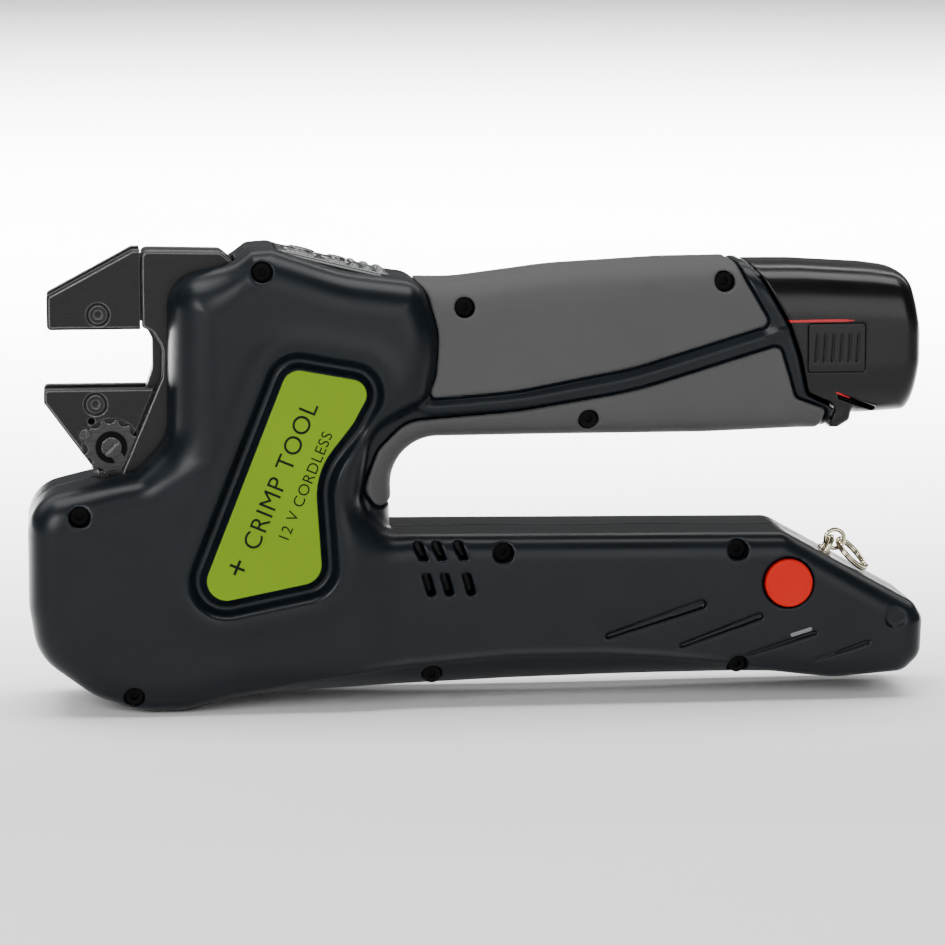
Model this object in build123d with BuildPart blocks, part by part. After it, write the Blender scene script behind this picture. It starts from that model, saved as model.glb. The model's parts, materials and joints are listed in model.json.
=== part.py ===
from build123d import *
import math
import os

# Cordless electromechanical crimping tool: C-frame jaws in front (-X), a gripped handle with a slide-in
# battery above and a drive arm below.  The motor turns a ball screw, the screw pushes a wedge forward under
# a roller, and the roller lifts the lower jaw.  Z is up, Y = 0 is the parting plane, the left side is -Y.

# ---- driving dimensions (mm) ----------------------------------------------------------------------------
BODY_HALF = 29.0           # half thickness of the head of the housing
ARM_HALF = 24.5            # half thickness of the drive arm
HANDLE_HALF = 22.0         # half thickness of the handle over its grips
BATTERY_HALF = 24.0        # half thickness of the battery behind the handle
WALL = 2.6                 # housing wall
GRIP_SKIN = 1.6            # thickness of the soft grip inlays
BODY_EDGE = 8.0            # rounding of the outer edges
ARM_EDGE = 7.0
HANDLE_EDGE = 7.2
BATTERY_EDGE = 10.0
GAP = 0.3                  # clearance between pieces that move apart

PLATE_IN, PLATE_OUT = 7.0, 10.0    # C-frame side plates, as distances from the parting plane
JAW_IN, JAW_OUT = 5.0, 8.5         # jaw plates on each side of the die slot
TONGUE_OUT = 6.8                   # thin part of a jaw plate that runs behind the frame plate
CORE_HALF = 4.8                    # spacer between the frame plates

JAW_LIFT = 10.0            # stroke of the lower jaw
WEDGE_TRAVEL = 22.0        # travel of the wedge for that stroke
WEDGE_SLOPE = JAW_LIFT / WEDGE_TRAVEL
AXIS_Z = 32.5              # height of the motor, gearbox and screw axis
ROLLER_X, ROLLER_Z, ROLLER_R = -119.0, 52.0, 5.0
SCREW_R = 4.0
RUNNING = 0.05             # radial running clearance of shafts and pins

GEAR_MODULE = 0.75
SUN_TEETH, PLANET_TEETH, RING_TEETH = 12, 18, 48
PLANET_COUNT = 3
PLANET_ORBIT = GEAR_MODULE * (SUN_TEETH + PLANET_TEETH) / 2
PRESSURE_ANGLE = math.radians(25)
BACKLASH = 0.16

ECCENTRIC = (-121.0, 86.6)         # x, z of the eccentric pin that joins push rod and lower jaw
UPPER_DIE_SCREW = (-124.8, 130.2)
LOWER_DIE_SCREW = (-126.0, 100.8)
RELEASE_BUTTON = (101.5, 40.2)
BUTTON_R = 8.35

SCREW_HEAD_R, SCREW_SHANK_R, POCKET_R, BOSS_R = 2.9, 1.5, 3.35, 4.3
BODY_SCREWS = [(-72.1, 145.2), (-131.8, 66.3), (-114.8, 6.6)]
ARM_SCREWS = [(6.6, 51.6), (84.7, 51.2), (138.0, 27.5), (-16.8, 11.0), (85.1, 12.5)]
HANDLE_SCREWS = [(-5.8, 132.4), (80.0, 140.0), (35.2, 95.0)]
HEAD_DEPTH = 7.0                   # how far a screw head lies below the outer face
SCREW_HEAD_HEIGHT = 2.0
SCREW_GRIP = 12.0                  # depth of the screw holes in the right half
LABEL_DEPTH = 0.8
HANDLE_WALL = 1.8

KEYPAD_ANGLE = math.radians(-13.7)
KEYPAD_PLANE = Plane(
    origin=(-48, 0, 146.6),
    x_dir=(math.cos(KEYPAD_ANGLE), 0, math.sin(KEYPAD_ANGLE)),
    z_dir=(-math.sin(KEYPAD_ANGLE), 0, math.cos(KEYPAD_ANGLE)),
)
KEYPAD_LENGTH, KEYPAD_WIDTH = 38.0, 26.0
KEYPAD_SINK, KEYPAD_RISE = 1.6, 0.6
START_KEY_U, START_KEY_R = -10.5, 4.6      # key centres along the slope from the middle of the keypad
SELECT_KEY_U, SELECT_KEY_R = 1.5, 3.4
LENS_U, LENS_LENGTH, LENS_WIDTH = 11.5, 12.0, 3.2
KEY_BOTTOM, KEY_TOP = -0.8, 1.8

os.makedirs("parts", exist_ok=True)


# ---- outlines in the X-Z plane: corner points and the radius at each corner --------------------------------
BODY_OUTLINE = [
    ((-101.5, 142.5), 6), ((-80, 147), 10), ((-75.5, 151.5), 3), ((-68.5, 152.3), 3), ((-45, 144), 80),
    ((-20, 141), 8), ((-13.5, 122), 30), ((-18, 101), 8), ((-36, 92), 10), ((-40, 68), 8), ((-24, 50), 10),
    ((-29, 5.7), 12), ((-80, 4.6), 20), ((-98, 0), 20), ((-110, 0), 20), ((-127, 5), 18),
    ((-146.5, 18.5), 12), ((-149, 34), 15), ((-149, 72), 9), ((-113, 79.5), 3), ((-103, 90), 15),
]
ARM_OUTLINE = [
    ((-60, 58), 1), ((101, 56.4), 10), ((128, 41), 40), ((146, 31), 6), ((149, 26.5), 3),
    ((149, 17), 8), ((141, 8.6), 8), ((118, 6.6), 30), ((97, 9.2), 40), ((-60, 5), 1),
]
HANDLE_OUTLINE = [
    ((-45, 141), 4), ((-8, 140.5), 60), ((24, 144.6), 120), ((62, 146.6), 150), ((85.5, 146.6), 2),
    ((93.3, 138.8), 20), ((101.2, 124.4), 30), ((106.9, 112.6), 30), ((114.6, 98.6), 4), ((112, 90.6), 4),
    ((75, 89), 60), ((-2, 88.8), 22), ((-26, 80), 14), ((-29, 55), 4), ((-45, 55), 4),
]
BATTERY_OUTLINE = [
    ((60, 147), 1), ((106, 147), 60), ((130, 145), 30), ((142.5, 141), 10.5), ((149, 124), 24),
    ((149, 113), 24), ((145.5, 96.5), 10.5), ((128, 94), 20), ((60, 94), 1),
]
BATTERY_FACE = [((93.9, 139), 20), ((101.8, 124.6), 30), ((107.5, 112.8), 30), ((115.3, 98.6), 3)]
BATTERY_FRONT = [((50, 160), 1), ((79, 160), 1), *BATTERY_FACE, ((115.6, 80), 1), ((50, 80), 1)]
BATTERY_ROOM = [((79, 160), 1), *BATTERY_FACE, ((115.6, 80), 1), ((160, 80), 1), ((160, 160), 1)]
BATTERY_CLEARANCE = -0.5
UPPER_GRIP_OUTLINE = [
    ((-25, 150), 2), ((-25.2, 143.4), 3), ((-18.5, 137), 8), ((-15, 124), 20), ((-16.3, 110), 8),
    ((-19.3, 102), 3), ((11, 104.4), 120), ((50, 112), 120), ((95.6, 125.6), 2.5), ((86, 142), 30),
    ((80, 156), 4),
]
LOWER_GRIP_OUTLINE = [
    ((-39.5, 70.5), 2.5), ((-34.5, 86), 10), ((-25, 95.4), 12), ((12, 98.3), 120), ((50, 104.6), 120),
    ((98.3, 119.3), 2.5), ((101.6, 108.6), 10), ((103.5, 101.8), 3), ((114.4, 97.6), 2), ((112, 84), 2),
    ((-18, 84), 16), ((-26.5, 68), 2),
]
LABEL_OUTLINE = [
    ((-94.6, 36.5), 6.5), ((-64, 113.6), 5.5), ((-36.5, 108.6), 8), ((-43, 96), 12), ((-55.2, 80), 22),
    ((-53.5, 45), 6),
]
FRAME_OUTLINE = [
    ((-110.6, 151), 2.2), ((-84.5, 150.4), 3), ((-80, 146.4), 1), ((-81, 138), 2), ((-88, 118), 6),
    ((-88, 62), 8), ((-82, 46), 4), ((8, 46), 2), ((8, 18), 2), ((-134, 18), 6), ((-142, 30), 6),
    ((-137, 52), 6), ((-123.5, 60), 4), ((-119.3, 74.8), 1), ((-104.4, 109.6), 3), ((-104, 119), 6),
    ((-107.2, 124.4), 1.5), ((-110.6, 126.2), 1),
]
CORE_OUTLINE = [
    ((-110.6, 151), 2.2), ((-84.5, 150.4), 3), ((-81.5, 146.6), 1), ((-82.5, 138), 2), ((-89, 118), 6),
    ((-89, 62), 1), ((-111.4, 62), 1), ((-111.4, 100), 3), ((-107.2, 112), 6), ((-107.2, 122), 4),
    ((-110.6, 128), 1),
]


def outline(corners, plane, inset=0.0):
    """A closed outline with rounded corners, drawn on a plane and shrunk all round by inset."""
    points = [point for point, _ in corners]
    radii = [radius for _, radius in corners]
    with BuildSketch(plane) as profile:
        with BuildLine():
            FilletPolyline(*points, radius=radii, close=True)
        make_face()
        if inset:
            offset(amount=-inset, kind=Kind.INTERSECTION, mode=Mode.REPLACE)
    return profile.sketch


def plate(corners, y_near, y_far):
    """A flat plate on the left side, between two distances from the parting plane."""
    profile = outline(corners, Plane.XZ.offset(y_near))
    with BuildPart() as flat:
        extrude(profile, amount=y_far - y_near)
    return flat.part


def block(corners, half, edge, inset=0.0):
    """Left half of a housing region, with its outer edges rounded, shrunk all round by inset."""
    profile = outline(corners, Plane.XZ, inset)
    with BuildPart() as region:
        extrude(profile, amount=half - inset)
        outer_face = region.faces().sort_by(Axis.Y)[0]
        start_x = region.vertices().sort_by(Axis.X)[0].X + 2
        fillet(outer_face.edges().filter_by(lambda edge_: edge_.center().X > start_x), radius=edge - inset)
    return region.part


def mirrored(left_part):
    """The right-hand twin of a left-hand piece."""
    with BuildPart() as twin:
        mirror(left_part, about=Plane.XZ)
    return twin.part


def both_sides(left_part):
    """One solid made of a left half and its mirror image."""
    with BuildPart() as whole:
        add(left_part)
        mirror(left_part, about=Plane.XZ)
    return whole.part


def cross_pin(point, radius, y_from, y_to):
    """A round pin along Y at (x, z)."""
    with BuildPart() as pin:
        with BuildSketch(Plane.XZ.offset(-y_to)):
            with Locations(point):
                Circle(radius)
        extrude(amount=y_to - y_from)
    return pin.part


def save(part, name):
    part.label = name
    export_step(part, f"parts/{name}.step")


# ---- housing: two hollow shells that meet at the parting plane -------------------------------------------
HEAD_AREAS = [(BODY_SCREWS, BODY_HALF), (ARM_SCREWS, ARM_HALF), (HANDLE_SCREWS, HANDLE_HALF)]
ALL_SCREWS = BODY_SCREWS + ARM_SCREWS + HANDLE_SCREWS
VENT_WIDTH = 3.2
UPPER_VENTS = [((x, 49.5), (x + 0.4, 57.5)) for x in (-20.5, -14.3, -8.1)]
LOWER_VENTS = [((x + 2.3, 37.8), (x, 44.2)) for x in (-19.3, -12.5, -5.7)]
ARM_SLOTS = [
    ((42, 24.6), (73, 33.6)), ((66, 20.4), (92.4, 29)), ((88.5, 16.6), (110.6, 23.3)), ((111, 14.6), (128.6, 20.2)),
]
SLOT_WIDTH, SLOT_DEPTH = 2.8, 1.2
STICK_FRONT, STICK_BACK, STICK_HALF = 55.0, 125.0, 18.0
STICK_LOW, STICK_HIGH, STICK_EDGE = 97.4, 137.2, 7.0
BAY_CLEARANCE = 0.5


def stick(x_from, x_to, grow=0.0):
    """The rounded bar of the battery that slides into the handle, or with grow its bay."""
    height = STICK_HIGH - STICK_LOW
    centre = Plane(origin=(x_from, 0, STICK_LOW + height / 2), x_dir=(0, 1, 0), z_dir=(1, 0, 0))
    with BuildPart() as bar:
        with BuildSketch(centre):
            RectangleRounded(2 * STICK_HALF + 2 * grow, height + 2 * grow, STICK_EDGE + grow)
        extrude(amount=x_to - x_from)
    return bar.part


def sloping_slots(ends, width, y_near, y_far):
    """Round-ended slots on the left side, each from one point to another."""
    with BuildPart() as slots:
        for start, end in ends:
            with BuildSketch(Plane.XZ.offset(y_near)):
                run = math.dist(start, end)
                middle = ((start[0] + end[0]) / 2, (start[1] + end[1]) / 2)
                with Locations(Location(middle, math.degrees(math.atan2(end[1] - start[1], end[0] - start[0])))):
                    SlotCenterToCenter(run, width)
            extrude(amount=y_far - y_near)
    return slots.part


def screw_pockets():
    """Counterbored holes for the housing screws, from the outside to the parting plane."""
    with BuildPart() as pockets:
        for points, half in HEAD_AREAS:
            with BuildSketch(Plane.XZ.offset(half - HEAD_DEPTH)):
                with Locations(*points):
                    Circle(POCKET_R)
            extrude(amount=HEAD_DEPTH + 1)
        with BuildSketch(Plane.XZ):
            with Locations(*ALL_SCREWS):
                Circle(SCREW_SHANK_R + 0.1)
        extrude(amount=BODY_HALF)
    return pockets.part


def screw_bosses():
    """Posts around the housing screws, kept when the inside is hollowed out."""
    with BuildPart() as posts:
        with BuildSketch(Plane.XZ):
            with Locations(*ALL_SCREWS):
                Circle(BOSS_R)
        extrude(amount=BODY_HALF)
        # The post at the top of the head fills its whole corner.
        with Locations((BODY_SCREWS[0][0], -BODY_HALF / 2, BODY_SCREWS[0][1] + 2)):
            Box(2 * BOSS_R + 6, BODY_HALF, 2 * BOSS_R + 4)
    return posts.part


def frame_opening():
    """The slot in the front of the housing that the C-frame and the push rod pass through."""
    profile = outline(FRAME_OUTLINE, Plane.XZ, inset=-GAP)
    with BuildPart() as opening:
        extrude(profile, amount=PLATE_OUT + GAP)
        with Locations((ROLLER_X, 0, 77)):
            Box(14, 15, 20)
        with Locations((-90, 0, 150)):
            Box(20, 2 * (PLATE_OUT + GAP), 9)
        add(cross_pin(ECCENTRIC, 12, -PLATE_OUT - GAP, 0))
    return opening.part


battery_room = plate([((x + BATTERY_CLEARANCE, z), r) for (x, z), r in BATTERY_ROOM], 0, BODY_HALF)
with BuildPart() as handle_whole:
    add(block(HANDLE_OUTLINE, HANDLE_HALF, HANDLE_EDGE))
    add(battery_room, mode=Mode.SUBTRACT)
handle_outer = handle_whole.part
handle_core = block(HANDLE_OUTLINE, HANDLE_HALF, HANDLE_EDGE, inset=GRIP_SKIN)
body_block = block(BODY_OUTLINE, BODY_HALF, BODY_EDGE)
arm_block = block(ARM_OUTLINE, ARM_HALF, ARM_EDGE)
pockets = screw_pockets()
battery_bay = stick(STICK_FRONT - 2, STICK_BACK, grow=BAY_CLEARANCE)


def grip(corners):
    """A soft inlay: the outer layer of the handle inside its own outline."""
    with BuildPart() as inlay:
        add(plate(corners, 0, HANDLE_HALF + 1))
        add(handle_outer, mode=Mode.INTERSECT)
        add(handle_core, mode=Mode.SUBTRACT)
        add(body_block, mode=Mode.SUBTRACT)
        add(battery_bay, mode=Mode.SUBTRACT)
    return inlay.part


with BuildPart() as upper_grip_plain:
    add(grip(UPPER_GRIP_OUTLINE))

with BuildPart() as lower_grip_plain:
    add(grip(LOWER_GRIP_OUTLINE))

with BuildPart() as upper_grip_left:
    add(upper_grip_plain.part)
    add(pockets, mode=Mode.SUBTRACT)

with BuildPart() as lower_grip_left:
    add(lower_grip_plain.part)
    add(pockets, mode=Mode.SUBTRACT)

with BuildPart() as label_left:
    add(plate(LABEL_OUTLINE, BODY_HALF - LABEL_DEPTH, BODY_HALF))

with BuildPart() as cavity:
    add(block(BODY_OUTLINE, BODY_HALF, BODY_EDGE, inset=WALL))
    add(block(ARM_OUTLINE, ARM_HALF, ARM_EDGE, inset=WALL))
    add(block(HANDLE_OUTLINE, HANDLE_HALF, HANDLE_EDGE, inset=GRIP_SKIN + HANDLE_WALL))
    add(screw_bosses(), mode=Mode.SUBTRACT)
    add(battery_bay)

# What both halves share; only the left one is then opened for the screw heads and the release button.
with BuildPart() as housing_half:
    add(body_block)
    add(arm_block)
    add(handle_outer)
    add(cavity.part, mode=Mode.SUBTRACT)
    add(frame_opening(), mode=Mode.SUBTRACT)
    add(upper_grip_plain.part, mode=Mode.SUBTRACT)
    add(lower_grip_plain.part, mode=Mode.SUBTRACT)
    add(label_left.part, mode=Mode.SUBTRACT)
    add(sloping_slots(UPPER_VENTS + LOWER_VENTS, VENT_WIDTH, ARM_HALF - 9, BODY_HALF), mode=Mode.SUBTRACT)
    add(sloping_slots(ARM_SLOTS, SLOT_WIDTH, ARM_HALF - SLOT_DEPTH, ARM_HALF), mode=Mode.SUBTRACT)
    with BuildSketch(KEYPAD_PLANE.offset(-KEYPAD_SINK)):
        RectangleRounded(KEYPAD_LENGTH + 0.2, KEYPAD_WIDTH + 0.2, 4)
    extrude(amount=10, mode=Mode.SUBTRACT)

with BuildPart() as housing_left:
    add(housing_half.part)
    add(pockets, mode=Mode.SUBTRACT)
    add(cross_pin(RELEASE_BUTTON, BUTTON_R + 0.45, -BODY_HALF, -ARM_HALF + 6), mode=Mode.SUBTRACT)

with BuildPart() as housing_right:
    mirror(housing_half.part, about=Plane.XZ)
    with BuildSketch(Plane.XZ):
        with Locations(*ALL_SCREWS):
            Circle(SCREW_SHANK_R + 0.1)
    extrude(amount=-SCREW_GRIP, mode=Mode.SUBTRACT)

save(housing_left.part, "housing_left")
save(housing_right.part, "housing_right")
save(upper_grip_left.part, "upper_grip_left")
save(lower_grip_left.part, "lower_grip_left")
save(mirrored(upper_grip_plain.part), "upper_grip_right")
save(mirrored(lower_grip_plain.part), "lower_grip_right")
save(label_left.part, "label_left")
save(mirrored(label_left.part), "label_right")

# ---- housing screws: one group of identical screws with their heads on the left ---------------------------
with BuildPart() as housing_screws:
    for points, half in HEAD_AREAS:
        with BuildSketch(Plane.XZ.offset(half - HEAD_DEPTH)):
            with Locations(*points):
                Circle(SCREW_HEAD_R)
        extrude(amount=SCREW_HEAD_HEIGHT)
        with BuildSketch(Plane.XZ.offset(half - HEAD_DEPTH)):
            with Locations(*points):
                Circle(SCREW_SHANK_R)
        extrude(amount=-(half - HEAD_DEPTH + SCREW_GRIP - 1))
        with BuildSketch(Plane.XZ.offset(half - HEAD_DEPTH + SCREW_HEAD_HEIGHT)):
            with Locations(*points):
                RegularPolygon(1.5, 6)
        extrude(amount=-1.6, mode=Mode.SUBTRACT)
save(housing_screws.part, "housing_screws")

# ---- keypad on the sloping top of the head ----------------------------------------------------------------
with BuildPart() as keypad_panel:
    with BuildSketch(KEYPAD_PLANE.offset(-KEYPAD_SINK)):
        RectangleRounded(KEYPAD_LENGTH, KEYPAD_WIDTH, 4)
        with Locations((START_KEY_U, 0)):
            Circle(START_KEY_R + 0.2, mode=Mode.SUBTRACT)
        with Locations((SELECT_KEY_U, 0)):
            Circle(SELECT_KEY_R + 0.2, mode=Mode.SUBTRACT)
        with Locations((LENS_U, 0)):
            SlotOverall(LENS_LENGTH, LENS_WIDTH, rotation=90, mode=Mode.SUBTRACT)
    extrude(amount=KEYPAD_SINK + KEYPAD_RISE)
save(keypad_panel.part, "keypad_panel")


def key(u, radius):
    """A domed key that stands in its hole in the keypad panel."""
    with BuildPart() as cap:
        with BuildSketch(KEYPAD_PLANE.offset(KEY_BOTTOM)):
            with Locations((u, 0)):
                Circle(radius)
        extrude(amount=KEY_TOP - KEY_BOTTOM)
        crown = cap.edges().filter_by(GeomType.CIRCLE).sort_by(Axis.Z)[-1]
        fillet(crown, radius=0.8)
    return cap.part


save(key(START_KEY_U, START_KEY_R), "start_key")
save(key(SELECT_KEY_U, SELECT_KEY_R), "select_key")

with BuildPart() as status_lens:
    with BuildSketch(KEYPAD_PLANE.offset(KEY_BOTTOM)):
        with Locations((LENS_U, 0)):
            SlotOverall(LENS_LENGTH, LENS_WIDTH, rotation=90)
    extrude(amount=KEYPAD_RISE + 0.4 - KEY_BOTTOM)
save(status_lens.part, "status_lens")

# ---- C-frame: two steel plates, the spacer between them and the bolts through all three -------------------
UPPER_BOLTS = [(-94, 134), (-94, 96), (-100, 70)]
RAIL_BOLTS = [(-128, 21), (-72, 21)]
BLOCK_BOLTS = [(-1, 22.6), (-1, 42.4)]
FRAME_BOLTS = UPPER_BOLTS + RAIL_BOLTS + BLOCK_BOLTS
BOLT_R, BOLT_HEAD_R, BOLT_HEAD_HEIGHT = 1.8, 3.4, 1.6
WHEEL_R, WHEEL_RECESS = 9.2, 9.8           # adjusting wheel and the room it needs behind the frame plate
WHEEL_FRONT, WHEEL_BACK = 8.4, 7.2


def bolt_holes():
    """Clearance holes for the frame bolts, right through the tool."""
    with BuildPart() as holes:
        with BuildSketch(Plane.XZ.offset(-PLATE_OUT)):
            with Locations(*FRAME_BOLTS):
                Circle(BOLT_R + 0.1)
        extrude(amount=2 * PLATE_OUT)
    return holes.part


frame_bolt_holes = bolt_holes()

with BuildPart() as frame_plate:
    add(plate(FRAME_OUTLINE, PLATE_IN, PLATE_OUT))
    visible_edges = frame_plate.faces().sort_by(Axis.Y)[0].edges().filter_by_position(Axis.Z, 75, 152)
    chamfer(visible_edges.filter_by(lambda edge_: edge_.center().X < -100), length=0.6)
    add(frame_bolt_holes, mode=Mode.SUBTRACT)

# Only the left plate is relieved behind its front edge, for the adjusting wheel to travel with the jaw.
with BuildPart() as frame_plate_left:
    add(frame_plate.part)
    with BuildSketch(Plane.XZ.offset(PLATE_IN)):
        with Locations((ECCENTRIC[0], ECCENTRIC[1] + JAW_LIFT / 2)):
            SlotCenterToCenter(JAW_LIFT, 2 * WHEEL_RECESS, rotation=90)
    extrude(amount=WHEEL_FRONT + 0.2 - PLATE_IN, mode=Mode.SUBTRACT)
save(frame_plate_left.part, "frame_plate_left")
save(mirrored(frame_plate.part), "frame_plate_right")

with BuildPart() as frame_core:
    add(both_sides(plate(CORE_OUTLINE, 0, CORE_HALF)))
    with Locations((-96, 5.9, 105), (-96, -5.9, 105)):
        Box(8, 2.2, 84)
    add(frame_bolt_holes, mode=Mode.SUBTRACT)
    with Locations((-96, 5.9, 138), (-96, -5.9, 138)):
        Box(14, 2.4, 24, mode=Mode.SUBTRACT)
save(frame_core.part, "frame_core")

with BuildPart() as frame_bolts:
    with BuildSketch(Plane.XZ.offset(-PLATE_OUT)):
        with Locations(*FRAME_BOLTS):
            Circle(BOLT_R)
    extrude(amount=2 * PLATE_OUT)
    for side in (-1, 1):
        with BuildSketch(Plane.XZ.offset(side * PLATE_OUT)):
            with Locations(*FRAME_BOLTS):
                Circle(BOLT_HEAD_R)
        extrude(amount=side * BOLT_HEAD_HEIGHT)
save(frame_bolts.part, "frame_bolts")

# ---- upper jaw: two plates fixed behind the frame plates, with an open slot for the upper die -------------
UPPER_JAW_OUTLINE = [
    ((-141.5, 136.4), 1.5), ((-113.6, 151.4), 1.5), ((-111, 151.4), 0), ((-111, 125.2), 0),
    ((-141.5, 125.2), 1.5),
]
UPPER_TONGUE = [((-112, 149), 0.5), ((-90, 149), 1), ((-90, 128), 1), ((-112, 128), 0.5)]
DIE_SCREW_R, DIE_HEAD_R, DIE_POCKET_R, DIE_HEAD_SINK = 1.9, 3.0, 3.9, 2.2


def die_screw_hole(point):
    """Hole and head pocket for a die screw, through both jaw plates from the left."""
    with BuildPart() as hole:
        add(cross_pin(point, DIE_SCREW_R + 0.1, -JAW_OUT - 1, JAW_OUT + 1))
        add(cross_pin(point, DIE_POCKET_R, -JAW_OUT - 1, -JAW_OUT + DIE_HEAD_SINK))
    return hole.part


def die_screw(point):
    """Socket-head screw that clamps a die between the two jaw plates."""
    with BuildPart() as screw:
        add(cross_pin(point, DIE_HEAD_R, -JAW_OUT, -JAW_OUT + DIE_HEAD_SINK))
        add(cross_pin(point, DIE_SCREW_R, -JAW_OUT, JAW_OUT - 0.3))
        with BuildSketch(Plane.XZ.offset(JAW_OUT)):
            with Locations(point):
                RegularPolygon(1.5, 6)
        extrude(amount=-1.5, mode=Mode.SUBTRACT)
    return screw.part


with BuildPart() as upper_jaw:
    add(plate(UPPER_JAW_OUTLINE, JAW_IN, JAW_OUT))
    chamfer(upper_jaw.faces().sort_by(Axis.Y)[0].edges().filter_by_position(Axis.X, -143, -112), length=0.9)
    add(plate(UPPER_TONGUE, JAW_IN, TONGUE_OUT))
    add(frame_bolt_holes, mode=Mode.SUBTRACT)

with BuildPart() as upper_jaw_left:
    add(upper_jaw.part)
    add(die_screw_hole(UPPER_DIE_SCREW), mode=Mode.SUBTRACT)
save(upper_jaw_left.part, "upper_jaw_left")

with BuildPart() as upper_jaw_right:
    mirror(upper_jaw.part, about=Plane.XZ)
    add(die_screw_hole(UPPER_DIE_SCREW), mode=Mode.SUBTRACT)
save(upper_jaw_right.part, "upper_jaw_right")
save(die_screw(UPPER_DIE_SCREW), "upper_die_screw")

# ---- lower jaw: two plates that slide up between the frame plates -----------------------------------------
LOWER_JAW_OUTLINE = [
    ((-142.8, 105.9), 1.5), ((-107.0, 105.9), 0), ((-118.3, 79.2), 0), ((-126.6, 79.2), 4),
    ((-142.8, 101.4), 1.5),
]
LOWER_TONGUE = [((-114, 104.5), 1), ((-101, 104.5), 1), ((-101, 84), 1), ((-112, 84), 1)]
LOCK_SCREW = (-129.6, 90.9)
SMALL_HOLE = (-127.4, 95.2)
PIN_R, PIN_HEAD_R, CLIP_R = 3.3, 3.7, 5.2
PIN_FACE = 9.6
NOTCH_COUNT, NOTCH_R = 12, 1.9
LOCK_HEAD_R = 1.8

with BuildPart() as lower_jaw:
    add(plate(LOWER_JAW_OUTLINE, JAW_IN, JAW_OUT))
    chamfer(lower_jaw.faces().sort_by(Axis.Y)[0].edges().filter_by_position(Axis.X, -144, -113), length=0.7)
    add(plate(LOWER_TONGUE, JAW_IN, TONGUE_OUT))

with BuildPart() as lower_jaw_left:
    add(lower_jaw.part)
    add(die_screw_hole(LOWER_DIE_SCREW), mode=Mode.SUBTRACT)
    add(cross_pin(ECCENTRIC, WHEEL_R + 0.3, -JAW_OUT - 1, -WHEEL_BACK + 0.1), mode=Mode.SUBTRACT)
    add(cross_pin(ECCENTRIC, PIN_R + 0.05, -JAW_OUT, -JAW_IN), mode=Mode.SUBTRACT)
    add(cross_pin(LOCK_SCREW, LOCK_HEAD_R + 0.2, -JAW_OUT - 1, -WHEEL_BACK + 0.1), mode=Mode.SUBTRACT)
    add(cross_pin(LOCK_SCREW, 1.0, -JAW_OUT, -JAW_IN), mode=Mode.SUBTRACT)
    add(cross_pin(SMALL_HOLE, 1.2, -JAW_OUT - 1, -JAW_IN + 1), mode=Mode.SUBTRACT)
save(lower_jaw_left.part, "lower_jaw_left")

with BuildPart() as lower_jaw_right:
    mirror(lower_jaw.part, about=Plane.XZ)
    add(die_screw_hole(LOWER_DIE_SCREW), mode=Mode.SUBTRACT)
    add(cross_pin(ECCENTRIC, PIN_R + 0.05, JAW_IN - 1, JAW_OUT + 1), mode=Mode.SUBTRACT)
save(lower_jaw_right.part, "lower_jaw_right")
save(die_screw(LOWER_DIE_SCREW), "lower_die_screw")

# Slotted eccentric pin through both plates and the eye of the push rod.
with BuildPart() as eccentric_pin:
    add(cross_pin(ECCENTRIC, PIN_R, -PIN_FACE, JAW_OUT))
    with Locations(Location((ECCENTRIC[0], -PIN_FACE, ECCENTRIC[1]), (0, 45, 0))):
        Box(1.0, 1.6, 8, mode=Mode.SUBTRACT)
save(eccentric_pin.part, "eccentric_pin")

# Notched wheel that sets the pin's angle; the lock screw's head stands in one of its notches.
lock_angle = math.degrees(math.atan2(LOCK_SCREW[1] - ECCENTRIC[1], LOCK_SCREW[0] - ECCENTRIC[0]))
notch_orbit = math.dist(LOCK_SCREW, ECCENTRIC)
with BuildPart() as adjusting_wheel:
    with BuildSketch(Plane.XZ.offset(WHEEL_BACK)):
        with Locations(ECCENTRIC):
            Circle(WHEEL_R)
            Circle(PIN_R + 0.05, mode=Mode.SUBTRACT)
            with PolarLocations(notch_orbit, NOTCH_COUNT, start_angle=lock_angle):
                Circle(NOTCH_R, mode=Mode.SUBTRACT)
    extrude(amount=WHEEL_FRONT - WHEEL_BACK)
save(adjusting_wheel.part, "adjusting_wheel")

with BuildPart() as retaining_clip:
    with BuildSketch(Plane.XZ.offset(WHEEL_FRONT)):
        with Locations(ECCENTRIC):
            Circle(CLIP_R)
            Circle(PIN_R + 0.1, mode=Mode.SUBTRACT)
            with Locations(Location((2.2, -3.4), -57)):
                Rectangle(9, 3.6, mode=Mode.SUBTRACT)
    extrude(amount=0.8)
save(retaining_clip.part, "retaining_clip")

with BuildPart() as wheel_lock_screw:
    add(cross_pin(LOCK_SCREW, LOCK_HEAD_R, -JAW_OUT - 0.6, -WHEEL_BACK))
    add(cross_pin(LOCK_SCREW, 0.95, -WHEEL_BACK, -JAW_IN))
    with Locations((LOCK_SCREW[0], -JAW_OUT - 0.6, LOCK_SCREW[1])):
        Box(0.6, 1.0, 5, mode=Mode.SUBTRACT)
save(wheel_lock_screw.part, "wheel_lock_screw")

# ---- push rod, roller and return spring -------------------------------------------------------------------
STEM_R = 4.2
FORK_OUT, FORK_IN, RAMP_HALF = 6.6, 4.3, 4.0
FORK_LOW, FORK_SLOT_TOP, FORK_TOP = 46.0, 57.6, 60.5
STOP_LOW, STOP_HIGH = 77.0, 78.6
ROLLER_PIN_R = 2.0
SPRING_WIRE, SPRING_R, SPRING_TURNS = 0.9, 5.4, 5

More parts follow.
